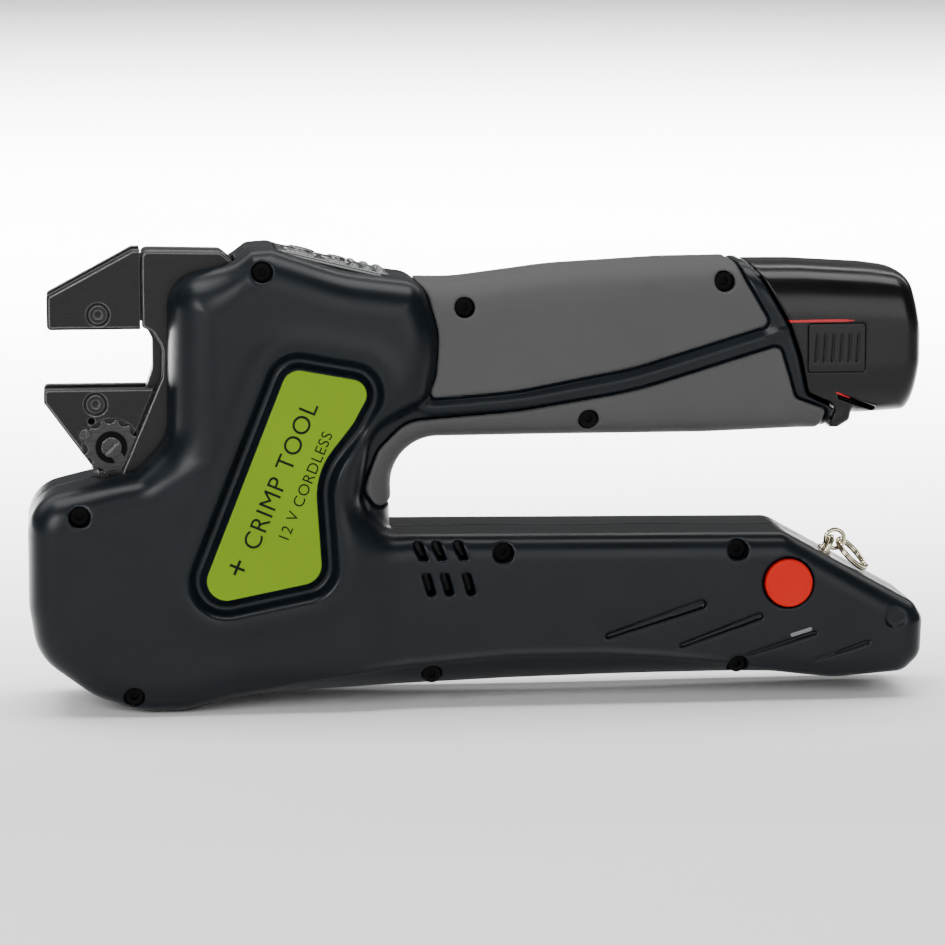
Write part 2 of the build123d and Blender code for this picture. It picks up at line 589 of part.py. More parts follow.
with BuildPart() as push_rod:
    with Locations((ROLLER_X, 0, (FORK_LOW + FORK_TOP) / 2)):
        Box(11, 2 * FORK_OUT, FORK_TOP - FORK_LOW)
    with Locations((ROLLER_X, 0, (FORK_LOW + FORK_SLOT_TOP) / 2 - 1)):
        Box(12, 2 * FORK_IN, FORK_SLOT_TOP - FORK_LOW + 2, mode=Mode.SUBTRACT)
    with BuildSketch(Plane.XY.offset(FORK_TOP)):
        with Locations((ROLLER_X, 0)):
            Circle(STEM_R)
    extrude(amount=ECCENTRIC[1] - FORK_TOP)
    add(cross_pin(ECCENTRIC, 6.2, -CORE_HALF, CORE_HALF))
    add(cross_pin(ECCENTRIC, PIN_R + 0.05, -JAW_IN, JAW_IN), mode=Mode.SUBTRACT)
    add(cross_pin((ROLLER_X, ROLLER_Z), ROLLER_PIN_R + 0.02, -FORK_OUT, FORK_OUT), mode=Mode.SUBTRACT)
save(push_rod.part, "push_rod")
save(cross_pin((ROLLER_X, ROLLER_Z), ROLLER_PIN_R, -FORK_OUT, FORK_OUT), "roller_pin")

with BuildPart() as push_roller:
    add(cross_pin((ROLLER_X, ROLLER_Z), ROLLER_R, -RAMP_HALF, RAMP_HALF))
    add(cross_pin((ROLLER_X, ROLLER_Z), ROLLER_PIN_R + RUNNING, -RAMP_HALF, RAMP_HALF), mode=Mode.SUBTRACT)
save(push_roller.part, "push_roller")

with BuildPart() as spring_stop:
    with BuildSketch(Plane.XY.offset(STOP_LOW)):
        with Locations((-118.4, 0)):
            Rectangle(14, 2 * (PLATE_IN - 0.1))
        with Locations((ROLLER_X, 0)):
            Circle(STEM_R + 0.4, mode=Mode.SUBTRACT)
    extrude(amount=STOP_HIGH - STOP_LOW)
save(spring_stop.part, "spring_stop")

spring_height = STOP_LOW - FORK_TOP - 2 * SPRING_WIRE
with BuildPart() as return_spring:
    with BuildLine():
        coil = Helix(
            pitch=spring_height / SPRING_TURNS,
            height=spring_height,
            radius=SPRING_R,
            center=(ROLLER_X, 0, FORK_TOP + SPRING_WIRE),
        )
    with BuildSketch(Plane(origin=coil @ 0, z_dir=coil % 0)):
        Circle(SPRING_WIRE / 2)
    sweep(is_frenet=True)
save(return_spring.part, "return_spring")

# ---- wedge drive: carriage on a hardened rail, moved by a ball nut ----------------------------------------
RAIL_TOP, RAIL_LOW = 24.0, 18.0
CARRIAGE_FRONT, CARRIAGE_STEP, CARRIAGE_BACK = -122.0, -96.0, -68.0
CARRIAGE_HALF, CARRIAGE_TOP = 6.7, 41.0
NUT_R = 6.3
NUT_FRONT, NUT_BACK = -82.0, -66.0
SCREW_FRONT, SCREW_BACK = -95.0, 15.0
LIFT_GAP = 0.05
ramp_at_roller = ROLLER_Z - ROLLER_R / math.cos(math.atan(WEDGE_SLOPE)) - LIFT_GAP
ramp_front = ramp_at_roller + WEDGE_SLOPE * (CARRIAGE_FRONT - ROLLER_X)
ramp_top = ramp_at_roller + WEDGE_SLOPE * (CARRIAGE_STEP - ROLLER_X)

with BuildPart() as guide_rail:
    with Locations(((-138 + -62) / 2, 0, (RAIL_TOP + RAIL_LOW) / 2)):
        Box(76, 2 * (PLATE_IN - 0.05), RAIL_TOP - RAIL_LOW)
    add(frame_bolt_holes, mode=Mode.SUBTRACT)
save(guide_rail.part, "guide_rail")

along_x = {"x_dir": (0, 1, 0), "z_dir": (1, 0, 0)}


def axis_plane(x):
    """Plane across the drive axis at a distance along X."""
    return Plane(origin=(x, 0, AXIS_Z), **along_x)


def axis_cylinder(radius, x_from, x_to, bore=0.0):
    """A cylinder or tube on the drive axis."""
    with BuildPart() as turned:
        with BuildSketch(axis_plane(x_from)):
            Circle(radius)
            if bore:
                Circle(bore, mode=Mode.SUBTRACT)
        extrude(amount=x_to - x_from)
    return turned.part


with BuildPart() as wedge_carriage:
    with BuildSketch(Plane.XZ.offset(-RAMP_HALF)):
        with BuildLine():
            Polyline(
                (CARRIAGE_FRONT, RAIL_TOP + LIFT_GAP),
                (CARRIAGE_FRONT, ramp_front),
                (CARRIAGE_STEP, ramp_top),
                (CARRIAGE_STEP + 3, ramp_top),
                (CARRIAGE_STEP + 3, RAIL_TOP + LIFT_GAP),
                close=True,
            )
        make_face()
    extrude(amount=2 * RAMP_HALF)
    carriage_height = CARRIAGE_TOP - RAIL_TOP - LIFT_GAP
    with Locations(((CARRIAGE_STEP + CARRIAGE_BACK) / 2, 0, CARRIAGE_TOP - carriage_height / 2)):
        Box(CARRIAGE_BACK - CARRIAGE_STEP, 2 * CARRIAGE_HALF, carriage_height)
    add(axis_cylinder(NUT_R + 0.02, NUT_FRONT, CARRIAGE_BACK + 1), mode=Mode.SUBTRACT)
    add(axis_cylinder(SCREW_R + 0.5, CARRIAGE_STEP - 0.5, NUT_FRONT), mode=Mode.SUBTRACT)
save(wedge_carriage.part, "wedge_carriage")
save(axis_cylinder(NUT_R, NUT_FRONT, NUT_BACK, bore=SCREW_R + RUNNING), "ball_nut")

# ---- screw with the planet carrier fixed to its rear end --------------------------------------------------
BUSH_R, BUSH_FRONT, BUSH_BACK = 6.6, -8.0, 7.0
CARRIER_BACK, PLANET_FRONT, PLANET_BACK = 19.0, 20.0, 29.0
CARRIER_R, PLANET_PIN_R = 15.0, 1.8
ORBIT_ANGLES = [360 / PLANET_COUNT * index for index in range(PLANET_COUNT)]

with BuildPart() as ball_screw:
    add(axis_cylinder(SCREW_R, SCREW_FRONT, SCREW_BACK))
    add(axis_cylinder(SCREW_R + 1.6, BUSH_BACK + 0.3, BUSH_BACK + 2.5))
    chamfer(ball_screw.faces().sort_by(Axis.X)[0].edges(), length=0.8)
save(ball_screw.part, "ball_screw")

with BuildPart() as planet_carrier:
    with BuildSketch(axis_plane(SCREW_BACK)):
        Circle(CARRIER_R)
    extrude(amount=CARRIER_BACK - SCREW_BACK)
    with BuildSketch(axis_plane(CARRIER_BACK)):
        with PolarLocations(PLANET_ORBIT, PLANET_COUNT):
            Circle(PLANET_PIN_R)
    extrude(amount=PLANET_BACK - CARRIER_BACK)
save(planet_carrier.part, "planet_carrier")

with BuildPart() as bearing_block:
    with Locations(((BUSH_FRONT + 6) / 2, 0, AXIS_Z)):
        Box(6 - BUSH_FRONT, 2 * (PLATE_IN - 0.05), 25)
    add(axis_cylinder(BUSH_R, BUSH_FRONT, 6), mode=Mode.SUBTRACT)
    add(frame_bolt_holes, mode=Mode.SUBTRACT)
save(bearing_block.part, "bearing_block")
save(axis_cylinder(BUSH_R, BUSH_FRONT, BUSH_BACK, bore=SCREW_R + RUNNING), "screw_bush")


# ---- planetary gearbox ------------------------------------------------------------------------------------
def involute(angle):
    return math.tan(angle) - angle


def tooth_profile(teeth, r_low, r_high, thickness, phase):
    """Corner points of a gear's teeth: involute flanks between two radii, the first tooth at phase (rad)."""
    pitch_r = GEAR_MODULE * teeth / 2
    base_r = pitch_r * math.cos(PRESSURE_ANGLE)
    radii = [r_low + (r_high - r_low) * step / 3 for step in range(4)]
    half_angles = []
    for radius in radii:
        pressure = math.acos(min(1.0, base_r / radius))
        half_angles.append(thickness / (2 * pitch_r) + involute(PRESSURE_ANGLE) - involute(pressure))
    points = []
    for tooth in range(teeth):
        centre = phase + 2 * math.pi * tooth / teeth
        for radius, half_angle in zip(radii, half_angles):
            points.append((radius * math.cos(centre - half_angle), radius * math.sin(centre - half_angle)))
        for radius, half_angle in zip(reversed(radii), reversed(half_angles)):
            points.append((radius * math.cos(centre + half_angle), radius * math.sin(centre + half_angle)))
    return points


def spur_gear(plane, teeth, width, bore, phase):
    """A spur gear extruded from a plane along its normal."""
    pitch_r = GEAR_MODULE * teeth / 2
    thickness = math.pi * GEAR_MODULE / 2 - BACKLASH
    points = tooth_profile(teeth, pitch_r - 1.15 * GEAR_MODULE, pitch_r + 0.85 * GEAR_MODULE, thickness, phase)
    with BuildPart() as gear:
        with BuildSketch(plane):
            with BuildLine():
                Polyline(*points, close=True)
            make_face()
            Circle(bore, mode=Mode.SUBTRACT)
        extrude(amount=width)
    return gear.part


GEAR_WIDTH = PLANET_BACK - PLANET_FRONT
SHAFT_R = 1.6
RING_FRONT, RING_BACK, RING_OUT = 13.0, 33.0, 20.9
MESH_FRONT = PLANET_FRONT - 0.5
sun_gear = spur_gear(axis_plane(PLANET_FRONT), SUN_TEETH, GEAR_WIDTH, SHAFT_R, 0.0)
save(sun_gear, "sun_gear")

for index, angle in enumerate(ORBIT_ANGLES):
    turn = math.radians(angle)
    centre = (PLANET_FRONT, PLANET_ORBIT * math.cos(turn), AXIS_Z + PLANET_ORBIT * math.sin(turn))
    planet_plane = Plane(origin=centre, **along_x)
    half_pitch = math.pi / PLANET_TEETH
    planet = spur_gear(planet_plane, PLANET_TEETH, GEAR_WIDTH, PLANET_PIN_R + RUNNING, turn + half_pitch)
    save(planet, f"planet_gear_{index + 1}")

ring_pitch_r = GEAR_MODULE * RING_TEETH / 2
ring_spaces = tooth_profile(
    RING_TEETH,
    ring_pitch_r - 0.8 * GEAR_MODULE,
    ring_pitch_r + 1.2 * GEAR_MODULE,
    math.pi * GEAR_MODULE / 2 + BACKLASH,
    math.pi / RING_TEETH,
)
with BuildPart() as ring_gear:
    add(axis_cylinder(RING_OUT, RING_FRONT, RING_BACK, bore=CARRIER_R + 2))
    with BuildSketch(axis_plane(MESH_FRONT)):
        with BuildLine():
            Polyline(*ring_spaces, close=True)
        make_face()
    extrude(amount=RING_BACK - MESH_FRONT, mode=Mode.SUBTRACT)
    add(axis_cylinder(RING_OUT, RING_FRONT - 2, RING_FRONT, bore=SCREW_R + 2.5))
save(ring_gear.part, "ring_gear")

# ---- motor ------------------------------------------------------------------------------------------------
MOTOR_R, MOTOR_BACK, CAP_BACK = 17.5, 66.0, 76.0
MAGNET_IN, MAGNET_OUT, ARMATURE_R = 14.2, 16.5, 13.4

with BuildPart() as motor_can:
    add(axis_cylinder(MOTOR_R, RING_BACK, MOTOR_BACK, bore=MAGNET_OUT))
    add(axis_cylinder(MAGNET_OUT + 0.5, RING_BACK, RING_BACK + 1.5, bore=SHAFT_R + RUNNING))
save(motor_can.part, "motor_can")

with BuildPart() as motor_magnets:
    add(axis_cylinder(MAGNET_OUT, RING_BACK + 6, MOTOR_BACK - 4, bore=MAGNET_IN))
    with Locations((RING_BACK + 16, 0, AXIS_Z)):
        Box(40, 8, 40, mode=Mode.SUBTRACT)
save(motor_magnets.part, "motor_magnets")

with BuildPart() as motor_end_cap:
    add(axis_cylinder(MOTOR_R, MOTOR_BACK, CAP_BACK, bore=12))
    add(axis_cylinder(MOTOR_R, CAP_BACK - 2, CAP_BACK, bore=SHAFT_R + RUNNING))
save(motor_end_cap.part, "motor_end_cap")

with BuildPart() as rotor:
    add(axis_cylinder(SHAFT_R, PLANET_FRONT, CAP_BACK + 2))
    with BuildSketch(axis_plane(RING_BACK + 7)):
        Circle(ARMATURE_R)
        with PolarLocations(ARMATURE_R, 5):
            Rectangle(5, 1.6, mode=Mode.SUBTRACT)
    extrude(amount=MOTOR_BACK - RING_BACK - 12)
    add(axis_cylinder(5, MOTOR_BACK - 4, CAP_BACK - 3))
save(rotor.part, "rotor")

# ---- electronics ------------------------------------------------------------------------------------------
with BuildPart() as control_board:
    with Locations((-60, 17, 105)):
        Box(44, 1.6, 50)
    with Locations((-71, 13.7, 118), (-57, 13.7, 118), (-49, 13.7, 96)):
        Box(9, 5, 9)
    with BuildSketch(Plane.XZ.offset(-16.2)):
        with Locations((-73, 92), (-63, 92)):
            Circle(4)
    extrude(amount=9)
save(control_board.part, "control_board")

with BuildPart() as release_switch:
    with Locations((RELEASE_BUTTON[0], -9, RELEASE_BUTTON[1])):
        Box(13, 10, 12)
save(release_switch.part, "release_switch")

with BuildPart() as battery_socket:
    with Locations((47, 0, 117.5)):
        Box(6, 28, 30)
    with Locations((52, -8, 117.5), (52, 0, 117.5), (52, 8, 117.5)):
        Box(6, 0.8, 12)
save(battery_socket.part, "battery_socket")

# ---- battery: case with its stick, three cells inside, contacts and two side latches ----------------------
CELL_R, CELL_FRONT, CELL_LENGTH = 9.1, 60.0, 65.0
CELL_CENTRES = [(-8.2, 108.0), (-8.2, 126.6), (8.0, 117.3)]
LATCH_X, LATCH_Z, LATCH_LENGTH, LATCH_HEIGHT = 116.8, 118.3, 19.0, 16.0
LATCH_DEPTH = 2.2

battery_front = both_sides(plate(BATTERY_FRONT, 0, BATTERY_HALF + 2))
battery_rear = both_sides(block(BATTERY_OUTLINE, BATTERY_HALF, BATTERY_EDGE))

with BuildPart() as battery_case:
    add(battery_rear)
    add(battery_front, mode=Mode.SUBTRACT)
    add(stick(STICK_FRONT, STICK_BACK))
    for y, z in CELL_CENTRES:
        with BuildSketch(Plane(origin=(CELL_FRONT, y, z), **along_x)):
            Circle(CELL_R + 0.05)
        extrude(amount=CELL_LENGTH, mode=Mode.SUBTRACT)
    with Locations((56, -8, 117.5), (56, 0, 117.5), (56, 8, 117.5)):
        Box(8, 1.8, 13, mode=Mode.SUBTRACT)
    for side in (-1, 1):
        with Locations((LATCH_X, side * (BATTERY_HALF + 0.5), LATCH_Z)):
            Box(LATCH_LENGTH + 0.6, 10, LATCH_HEIGHT + 0.6, mode=Mode.SUBTRACT)
save(battery_case.part, "battery_case")

with BuildPart() as battery_cells:
    for y, z in CELL_CENTRES:
        with BuildSketch(Plane(origin=(CELL_FRONT, y, z), **along_x)):
            Circle(CELL_R)
        extrude(amount=CELL_LENGTH)
save(battery_cells.part, "battery_cells")

with BuildPart() as battery_contacts:
    with Locations((58.8, -8, 117.5), (58.8, 0, 117.5), (58.8, 8, 117.5)):
        Box(2, 1.6, 10)
save(battery_contacts.part, "battery_contacts")

with BuildPart() as battery_latch_left:
    with Locations((LATCH_X, -BATTERY_HALF + LATCH_DEPTH / 2, LATCH_Z)):
        Box(LATCH_LENGTH, LATCH_DEPTH, LATCH_HEIGHT)
    for step in range(6):
        with Locations((LATCH_X - 5.6 + 2.8 * step, -BATTERY_HALF, LATCH_Z)):
            Box(1.2, 0.8, 10)
save(battery_latch_left.part, "battery_latch_left")
save(mirrored(battery_latch_left.part), "battery_latch_right")

# ---- release button ---------------------------------------------------------------------------------------
with BuildPart() as release_button:
    add(cross_pin(RELEASE_BUTTON, BUTTON_R, -ARM_HALF - 1.6, -ARM_HALF + 5.5))
    add(cross_pin(RELEASE_BUTTON, 4, -ARM_HALF + 5.5, -ARM_HALF + 7.2))
    crown = release_button.faces().sort_by(Axis.Y)[0].edges()
    fillet(crown, radius=0.9)
save(release_button.part, "release_button")

# ---- lanyard eye, link and key ring on the slope of the arm -----------------------------------------------
SLOPE_TOP, SLOPE_FOOT = (101, 56.4), (128, 41)
SLOPE = math.atan2(SLOPE_FOOT[1] - SLOPE_TOP[1], SLOPE_FOOT[0] - SLOPE_TOP[0])
SLOPE_ALONG = (math.cos(SLOPE), math.sin(SLOPE))
SLOPE_OUT = (-math.sin(SLOPE), math.cos(SLOPE))
EYE_X = 118.0
EYE_FOOT = (EYE_X, SLOPE_FOOT[1] - (SLOPE_FOOT[0] - EYE_X) * math.tan(SLOPE))
EYE_HEIGHT, EYE_WIRE, EYE_HALF_WIDTH = 5.2, 0.9, 3.4
LINK_R, LINK_WIRE, LINK_OFFSET = 3.2, 0.7, 1.3
KEY_RING_R, KEY_RING_WIRE, KEY_RING_OFFSET = 6.6, 1.0, 1.2
KEY_RING_DIP = math.radians(14)


def slope_point(along, out):
    """Point of the plane Y = 0 at a distance along and out from the foot of the eye."""
    x = EYE_FOOT[0] + along * SLOPE_ALONG[0] + out * SLOPE_OUT[0]
    z = EYE_FOOT[1] + along * SLOPE_ALONG[1] + out * SLOPE_OUT[1]
    return (x, 0, z)


with BuildPart() as lanyard_eye:
    slope_plane = Plane(origin=slope_point(0, 0), x_dir=(SLOPE_ALONG[0], 0, SLOPE_ALONG[1]),
                        z_dir=(SLOPE_OUT[0], 0, SLOPE_OUT[1]))
    with BuildSketch(slope_plane):
        RectangleRounded(8, 12, 1.5)
    extrude(amount=0.9)
    across = Plane(origin=slope_point(0, 0), x_dir=(0, 1, 0), z_dir=(SLOPE_ALONG[0], 0, SLOPE_ALONG[1]))
    arch_rise = EYE_HEIGHT - EYE_HALF_WIDTH
    with BuildLine(across) as arch:
        left_leg = Line((-EYE_HALF_WIDTH, 0), (-EYE_HALF_WIDTH, arch_rise))
        crown_arc = RadiusArc(left_leg @ 1, (EYE_HALF_WIDTH, arch_rise), EYE_HALF_WIDTH)
        Line(crown_arc @ 1, (EYE_HALF_WIDTH, 0))
    with BuildSketch(Plane(origin=arch.line @ 0, z_dir=arch.line % 0)):
        Circle(EYE_WIRE)
    sweep(path=arch.line)
save(lanyard_eye.part, "lanyard_eye")


def wire_ring(centre, plane_normal, x_dir, ring_r, wire_r):
    """A closed ring of round wire around a centre."""
    ring_plane = Plane(origin=centre, x_dir=x_dir, z_dir=plane_normal)
    section = Plane(origin=ring_plane.from_local_coords((ring_r, 0, 0)), x_dir=x_dir, z_dir=ring_plane.y_dir)
    with BuildPart() as ring:
        with BuildSketch(section):
            Circle(wire_r)
        revolve(axis=Axis(ring_plane.origin, ring_plane.z_dir))
    return ring.part


link_centre = slope_point(LINK_OFFSET, EYE_HEIGHT)
save(wire_ring(link_centre, (0, 1, 0), (1, 0, 0), LINK_R, LINK_WIRE), "swivel_link")

ring_start = (LINK_OFFSET + KEY_RING_OFFSET, EYE_HEIGHT)
ring_middle = slope_point(
    ring_start[0] + KEY_RING_R * math.cos(KEY_RING_DIP),
    ring_start[1] - KEY_RING_R * math.sin(KEY_RING_DIP),
)
ring_tilt = SLOPE - KEY_RING_DIP
save(
    wire_ring(
        ring_middle,
        (-math.sin(ring_tilt), 0, math.cos(ring_tilt)),
        (math.cos(ring_tilt), 0, math.sin(ring_tilt)),
        KEY_RING_R,
        KEY_RING_WIRE,
    ),
    "key_ring",
)
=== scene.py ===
import json
import math
import bpy
import bmesh
import numpy as np
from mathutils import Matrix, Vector


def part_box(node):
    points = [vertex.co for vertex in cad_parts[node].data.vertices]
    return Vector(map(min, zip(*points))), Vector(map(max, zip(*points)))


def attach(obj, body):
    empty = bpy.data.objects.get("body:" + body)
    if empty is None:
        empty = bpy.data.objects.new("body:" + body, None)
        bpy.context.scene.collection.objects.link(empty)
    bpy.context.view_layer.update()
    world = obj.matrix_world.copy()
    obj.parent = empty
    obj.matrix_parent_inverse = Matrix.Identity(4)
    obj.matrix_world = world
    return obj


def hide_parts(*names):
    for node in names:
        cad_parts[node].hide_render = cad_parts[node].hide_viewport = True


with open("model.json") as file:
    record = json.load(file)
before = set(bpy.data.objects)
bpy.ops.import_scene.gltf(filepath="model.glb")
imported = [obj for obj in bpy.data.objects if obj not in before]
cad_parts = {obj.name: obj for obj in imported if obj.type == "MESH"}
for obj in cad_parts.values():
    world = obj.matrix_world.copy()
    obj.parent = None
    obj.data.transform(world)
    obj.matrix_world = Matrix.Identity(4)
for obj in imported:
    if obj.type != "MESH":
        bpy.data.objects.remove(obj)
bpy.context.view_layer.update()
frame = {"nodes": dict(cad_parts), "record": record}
MM = 0.001
STEP = 0.6
MOST_TRIANGLES = 185000
SIDES = ((-1, "Left"), (1, "Right"))

# ---- outlines in the X-Z plane (mm): corner points and the radius at each corner ---------------------------
BODY = [
    ((-102.3, 142.5), 16), ((-82, 146.6), 20), ((-75.5, 151.5), 3), ((-68.5, 152.0), 4), ((-45, 144.2), 60),
    ((-20, 141), 8), ((-13.5, 122), 30), ((-17.5, 101), 8), ((-36, 92), 12), ((-40, 68), 10), ((-31, 57.9), 7),
    ((101, 56.4), 8), ((128, 41.2), 40), ((145.6, 31.4), 6), ((148.4, 26.5), 4), ((147.9, 14), 7),
    ((142, 8.2), 7), ((118, 6.6), 30), ((97, 9.2), 40), ((-80, 4.8), 40), ((-98, 0.2), 24), ((-112, 0.2), 22),
    ((-128, 5.8), 24), ((-146.0, 19.2), 18), ((-148.6, 36), 24), ((-148.6, 70.6), 13), ((-113, 79.3), 3),
    ((-102.8, 90), 15),
]
HANDLE = [
    ((-45, 141), 4), ((-8, 140.3), 60), ((24, 144.4), 120), ((62, 146.4), 150), ((130, 146.8), 2),
    ((130, 90.8), 2), ((75, 89), 60), ((-29.6, 88.8), 26), ((-29.2, 55), 4), ((-45, 55), 4),
]
BATTERY = [
    ((60, 147.6), 1), ((106, 147.2), 60), ((130, 145.4), 30), ((142.8, 142.8), 13), ((145.6, 124), 24),
    ((145.6, 113), 24), ((143.6, 94.0), 4), ((128, 91.9), 20), ((60, 92.2), 1),
]
BATTERY_LONG = [((60, 147.6), 1), ((106, 147.2), 60), ((175, 144), 1), ((175, 94.5), 1), ((60, 93.4), 1)]
BATTERY_TAB = [((106, 100), 1), ((107, 91.6), 1), ((118.5, 91.0), 2), ((122.5, 93.4), 2), ((124, 100), 1)]
REAR_FACE = [
    ((93.9, 139), 20), ((101.6, 125.8), 20), ((105.2, 115), 20), ((107.6, 103.2), 3), ((117.5, 98.0), 2),
]
REAR_ROOM = [((79, 160), 1), *REAR_FACE, ((115.2, 91), 1), ((115.2, 80), 1), ((170, 80), 1), ((170, 160), 1)]
UPPER_GRIP = [
    ((-25, 160), 2), ((-25.2, 143.4), 3), ((-18.2, 137), 8), ((-14.6, 124), 20), ((-15.6, 110), 8),
    ((-18.8, 102.6), 2.5), ((11, 104.6), 120), ((50, 112), 120), ((95.4, 125.8), 2.5), ((86, 142), 30),
    ((80, 160), 4),
]
LOWER_GRIP = [
    ((-39.5, 73), 4), ((-34.5, 86), 10), ((-25, 95.4), 12), ((12, 98.3), 120), ((50, 104.6), 120),
    ((98.3, 119.3), 2.5), ((101.6, 108.6), 10), ((103.5, 101.8), 3), ((114.2, 97.8), 2), ((112, 84), 2),
    ((-18, 84), 16), ((-26.5, 69), 2), ((-34.5, 66), 4),
]
LABEL = [
    ((-94.8, 36.2), 6.5), ((-64, 114.2), 5.5), ((-36, 109.0), 8), ((-43, 96), 12), ((-55.6, 80), 24),
    ((-53.2, 44.4), 6.5),
]
FRAME_SLOT = [
    ((-110.9, 151.3), 2.2), ((-84.2, 150.7), 3), ((-79.7, 146.6), 1), ((-80.7, 138), 2), ((-87.7, 118), 6),
    ((-87.7, 62), 8), ((-82, 46), 4), ((8, 46), 2), ((8, 18), 2), ((-134, 18), 6), ((-142.3, 30), 6),
    ((-137.3, 52), 6), ((-123.8, 60), 4), ((-119.6, 74.8), 1), ((-104.1, 109.6), 3), ((-103.7, 119), 6),
    ((-106.9, 124.4), 1.5), ((-110.9, 126.2), 1),
]
CREASE_X = [-90, -83.9, -73.1, -59.6, -35.4, 10.1, 39.7, 57.7, 84.6, 110]
CREASE_Z = [3.0, 5.3, 8.2, 11.0, 14.2, 17.6, 17.4, 16.2, 13.3, 8.0]

RECESSES = [
    ((41.5, 23.4), (72.6, 33.4), 1.45, 2.6), ((66.0, 19.7), (92.0, 29.0), 1.1, 2.0),
    ((88, 16.2), (110.8, 23.2), 0.6, 1.2), ((110.6, 13.8), (129, 19.6), 0.5, 1.0),
]

HEAD_HALF, ARM_HALF, HANDLE_HALF, BATTERY_HALF = 28.4, 24.4, 22.0, 24.0
FRAME_SLOT_HALF, VENT_FLOOR, PARTING_GAP = 10.3, 15, 0.09
HEAD_SCREWS = [(-72.1, 145.2), (-131.8, 66.3), (-114.8, 6.6)]
REAR_PLUG = (138.0, 27.5)
ARM_SCREWS = [(6.6, 51.6), (84.7, 51.2), REAR_PLUG, (-16.8, 11.0), (85.1, 12.5)]
HANDLE_SCREWS = [(-5.8, 132.4), (80.0, 140.0), (35.2, 95.0)]
POCKET_R, POCKET_DEPTH, PLUG_DEPTH = 3.35, 7, 2.3
BUTTON = (101.5, 40.2)
BUTTON_R, BUTTON_FACE, BUTTON_WELL = 7.9, -26.1, 15.5
LATCH_AT, LATCH_DEPTH, LATCH_ROOM = (116.8, 118.3), 2.2, 4.4
ROOM_GAP = 0.8
DRIVE_TRAVEL = [
    ("wedge_carriage", (-22, 0, 0), (0, 0, 0)), ("ball_nut", (-22, 0, 0), (0, 0, 0)),
    ("push_roller", (0, 0, 0), (0, 0, 10)), ("roller_pin", (0, 0, 0), (0, 0, 10)),
    ("ring_gear", (0, 0, 0), (0, 0, 0)),
]
KEYPAD_AT, KEYPAD_ANGLE = (-48.0, 146.6), math.radians(-13.7)
START_U, START_R, SELECT_U, SELECT_R, LENS_U = -10.5, 4.6, 1.5, 3.4, 11.5
KEYPAD_BUMPS = [
    (7.0, -9.4), (11.5, -9.4), (16.0, -9.4), (7.0, 9.4), (11.5, 9.4), (16.0, 9.4), (16.4, -4), (16.4, 4),
]


# ---- distance fields: negative inside, sampled on a grid ----------------------------------------------------
class Grid:
    """Coordinates of a box of samples, in mm, shaped so that x, y and z broadcast against each other."""

    def __init__(self, low, high, step):
        self.low = np.array(low, float)
        self.step = step
        count = np.ceil((np.array(high, float) - self.low) / step).astype(int) + 1
        axes = [(self.low[i] + step * np.arange(count[i])).astype(np.float32) for i in range(3)]
        self.x, self.y, self.z = axes[0][:, None, None], axes[1][None, :, None], axes[2][None, None, :]
        self.cache = {}

    def outline(self, corners):
        """Signed distance to a rounded outline in the X-Z plane, kept for the next use."""
        key = str(corners)
        if key not in self.cache:
            self.cache[key] = outline_distance(rounded(corners), self.x, self.z)
        return self.cache[key]


def rounded(corners):
    """Points along a closed outline whose corners are replaced by arcs."""
    points = []
    for index, (corner, radius) in enumerate(corners):
        before = np.array(corners[index - 1][0], float)
        here = np.array(corner, float)
        after = np.array(corners[(index + 1) % len(corners)][0], float)
        to_before, to_after = before - here, after - here
        reach = min(np.linalg.norm(to_before), np.linalg.norm(to_after))
        u, v = to_before / np.linalg.norm(to_before), to_after / np.linalg.norm(to_after)
        half = math.acos(max(-1.0, min(1.0, float(u @ v)))) / 2
        if half > math.pi / 2 - 0.01:
            points.append(here)
            continue
        cut = min(radius / math.tan(half), 0.46 * reach)
        arc_r = cut * math.tan(half)
        centre = here + (u + v) / np.linalg.norm(u + v) * arc_r / math.sin(half)
        first, last = here + u * cut - centre, here + v * cut - centre
        turn = math.atan2(first[0] * last[1] - first[1] * last[0], float(first @ last))
        start = math.atan2(first[1], first[0])
        steps = max(3, int(abs(turn) / math.radians(6)))
        for step in range(steps + 1):
            angle = start + turn * step / steps
            points.append(centre + arc_r * np.array([math.cos(angle), math.sin(angle)]))
    return np.array(points)


def outline_distance(points, x, z):
    px, pz = x[:, 0, 0][:, None].astype(float), z[0, 0, :][None, :].astype(float)
    best = np.full((px.shape[0], pz.shape[1]), 1e12)
    inside = np.zeros(best.shape, bool)
    for a, b in zip(points, np.roll(points, -1, axis=0)):
        edge = b - a
        length = float(edge @ edge)
        if length < 1e-12:
            continue
        t = np.clip(((px - a[0]) * edge[0] + (pz - a[1]) * edge[1]) / length, 0, 1)
        best = np.minimum(best, (px - a[0] - edge[0] * t) ** 2 + (pz - a[1] - edge[1] * t) ** 2)
        if abs(edge[1]) > 1e-12:
            crosses = (a[1] <= pz) != (b[1] <= pz)
            inside ^= crosses & (px < a[0] + (pz - a[1]) * edge[0] / edge[1])
    return (np.where(inside, -1, 1) * np.sqrt(best)).astype(np.float32)[:, None, :]


def blend_max(a, b, k):
    h = np.maximum(k - np.abs(a - b), 0) / k
    return np.maximum(a, b) + h * h * k * 0.25


def blend_min(a, b, k):
    return -blend_max(-a, -b, k)


def ramp(value, start, end):
    t = np.clip((value - start) / (end - start), 0, 1)
    return t * t * (3 - 2 * t)


def bar(g, start, end, radius):
    """Distance to a round-ended bar in the X-Z plane."""
    ex, ez = end[0] - start[0], end[1] - start[1]
    t = np.clip(((g.x - start[0]) * ex + (g.z - start[1]) * ez) / max(ex * ex + ez * ez, 1e-9), 0, 1)
    return np.sqrt((g.x - start[0] - ex * t) ** 2 + (g.z - start[1] - ez * t) ** 2) - radius


def disc(g, centre, radius):
    return np.sqrt((g.x - centre[0]) ** 2 + (g.z - centre[1]) ** 2) - radius


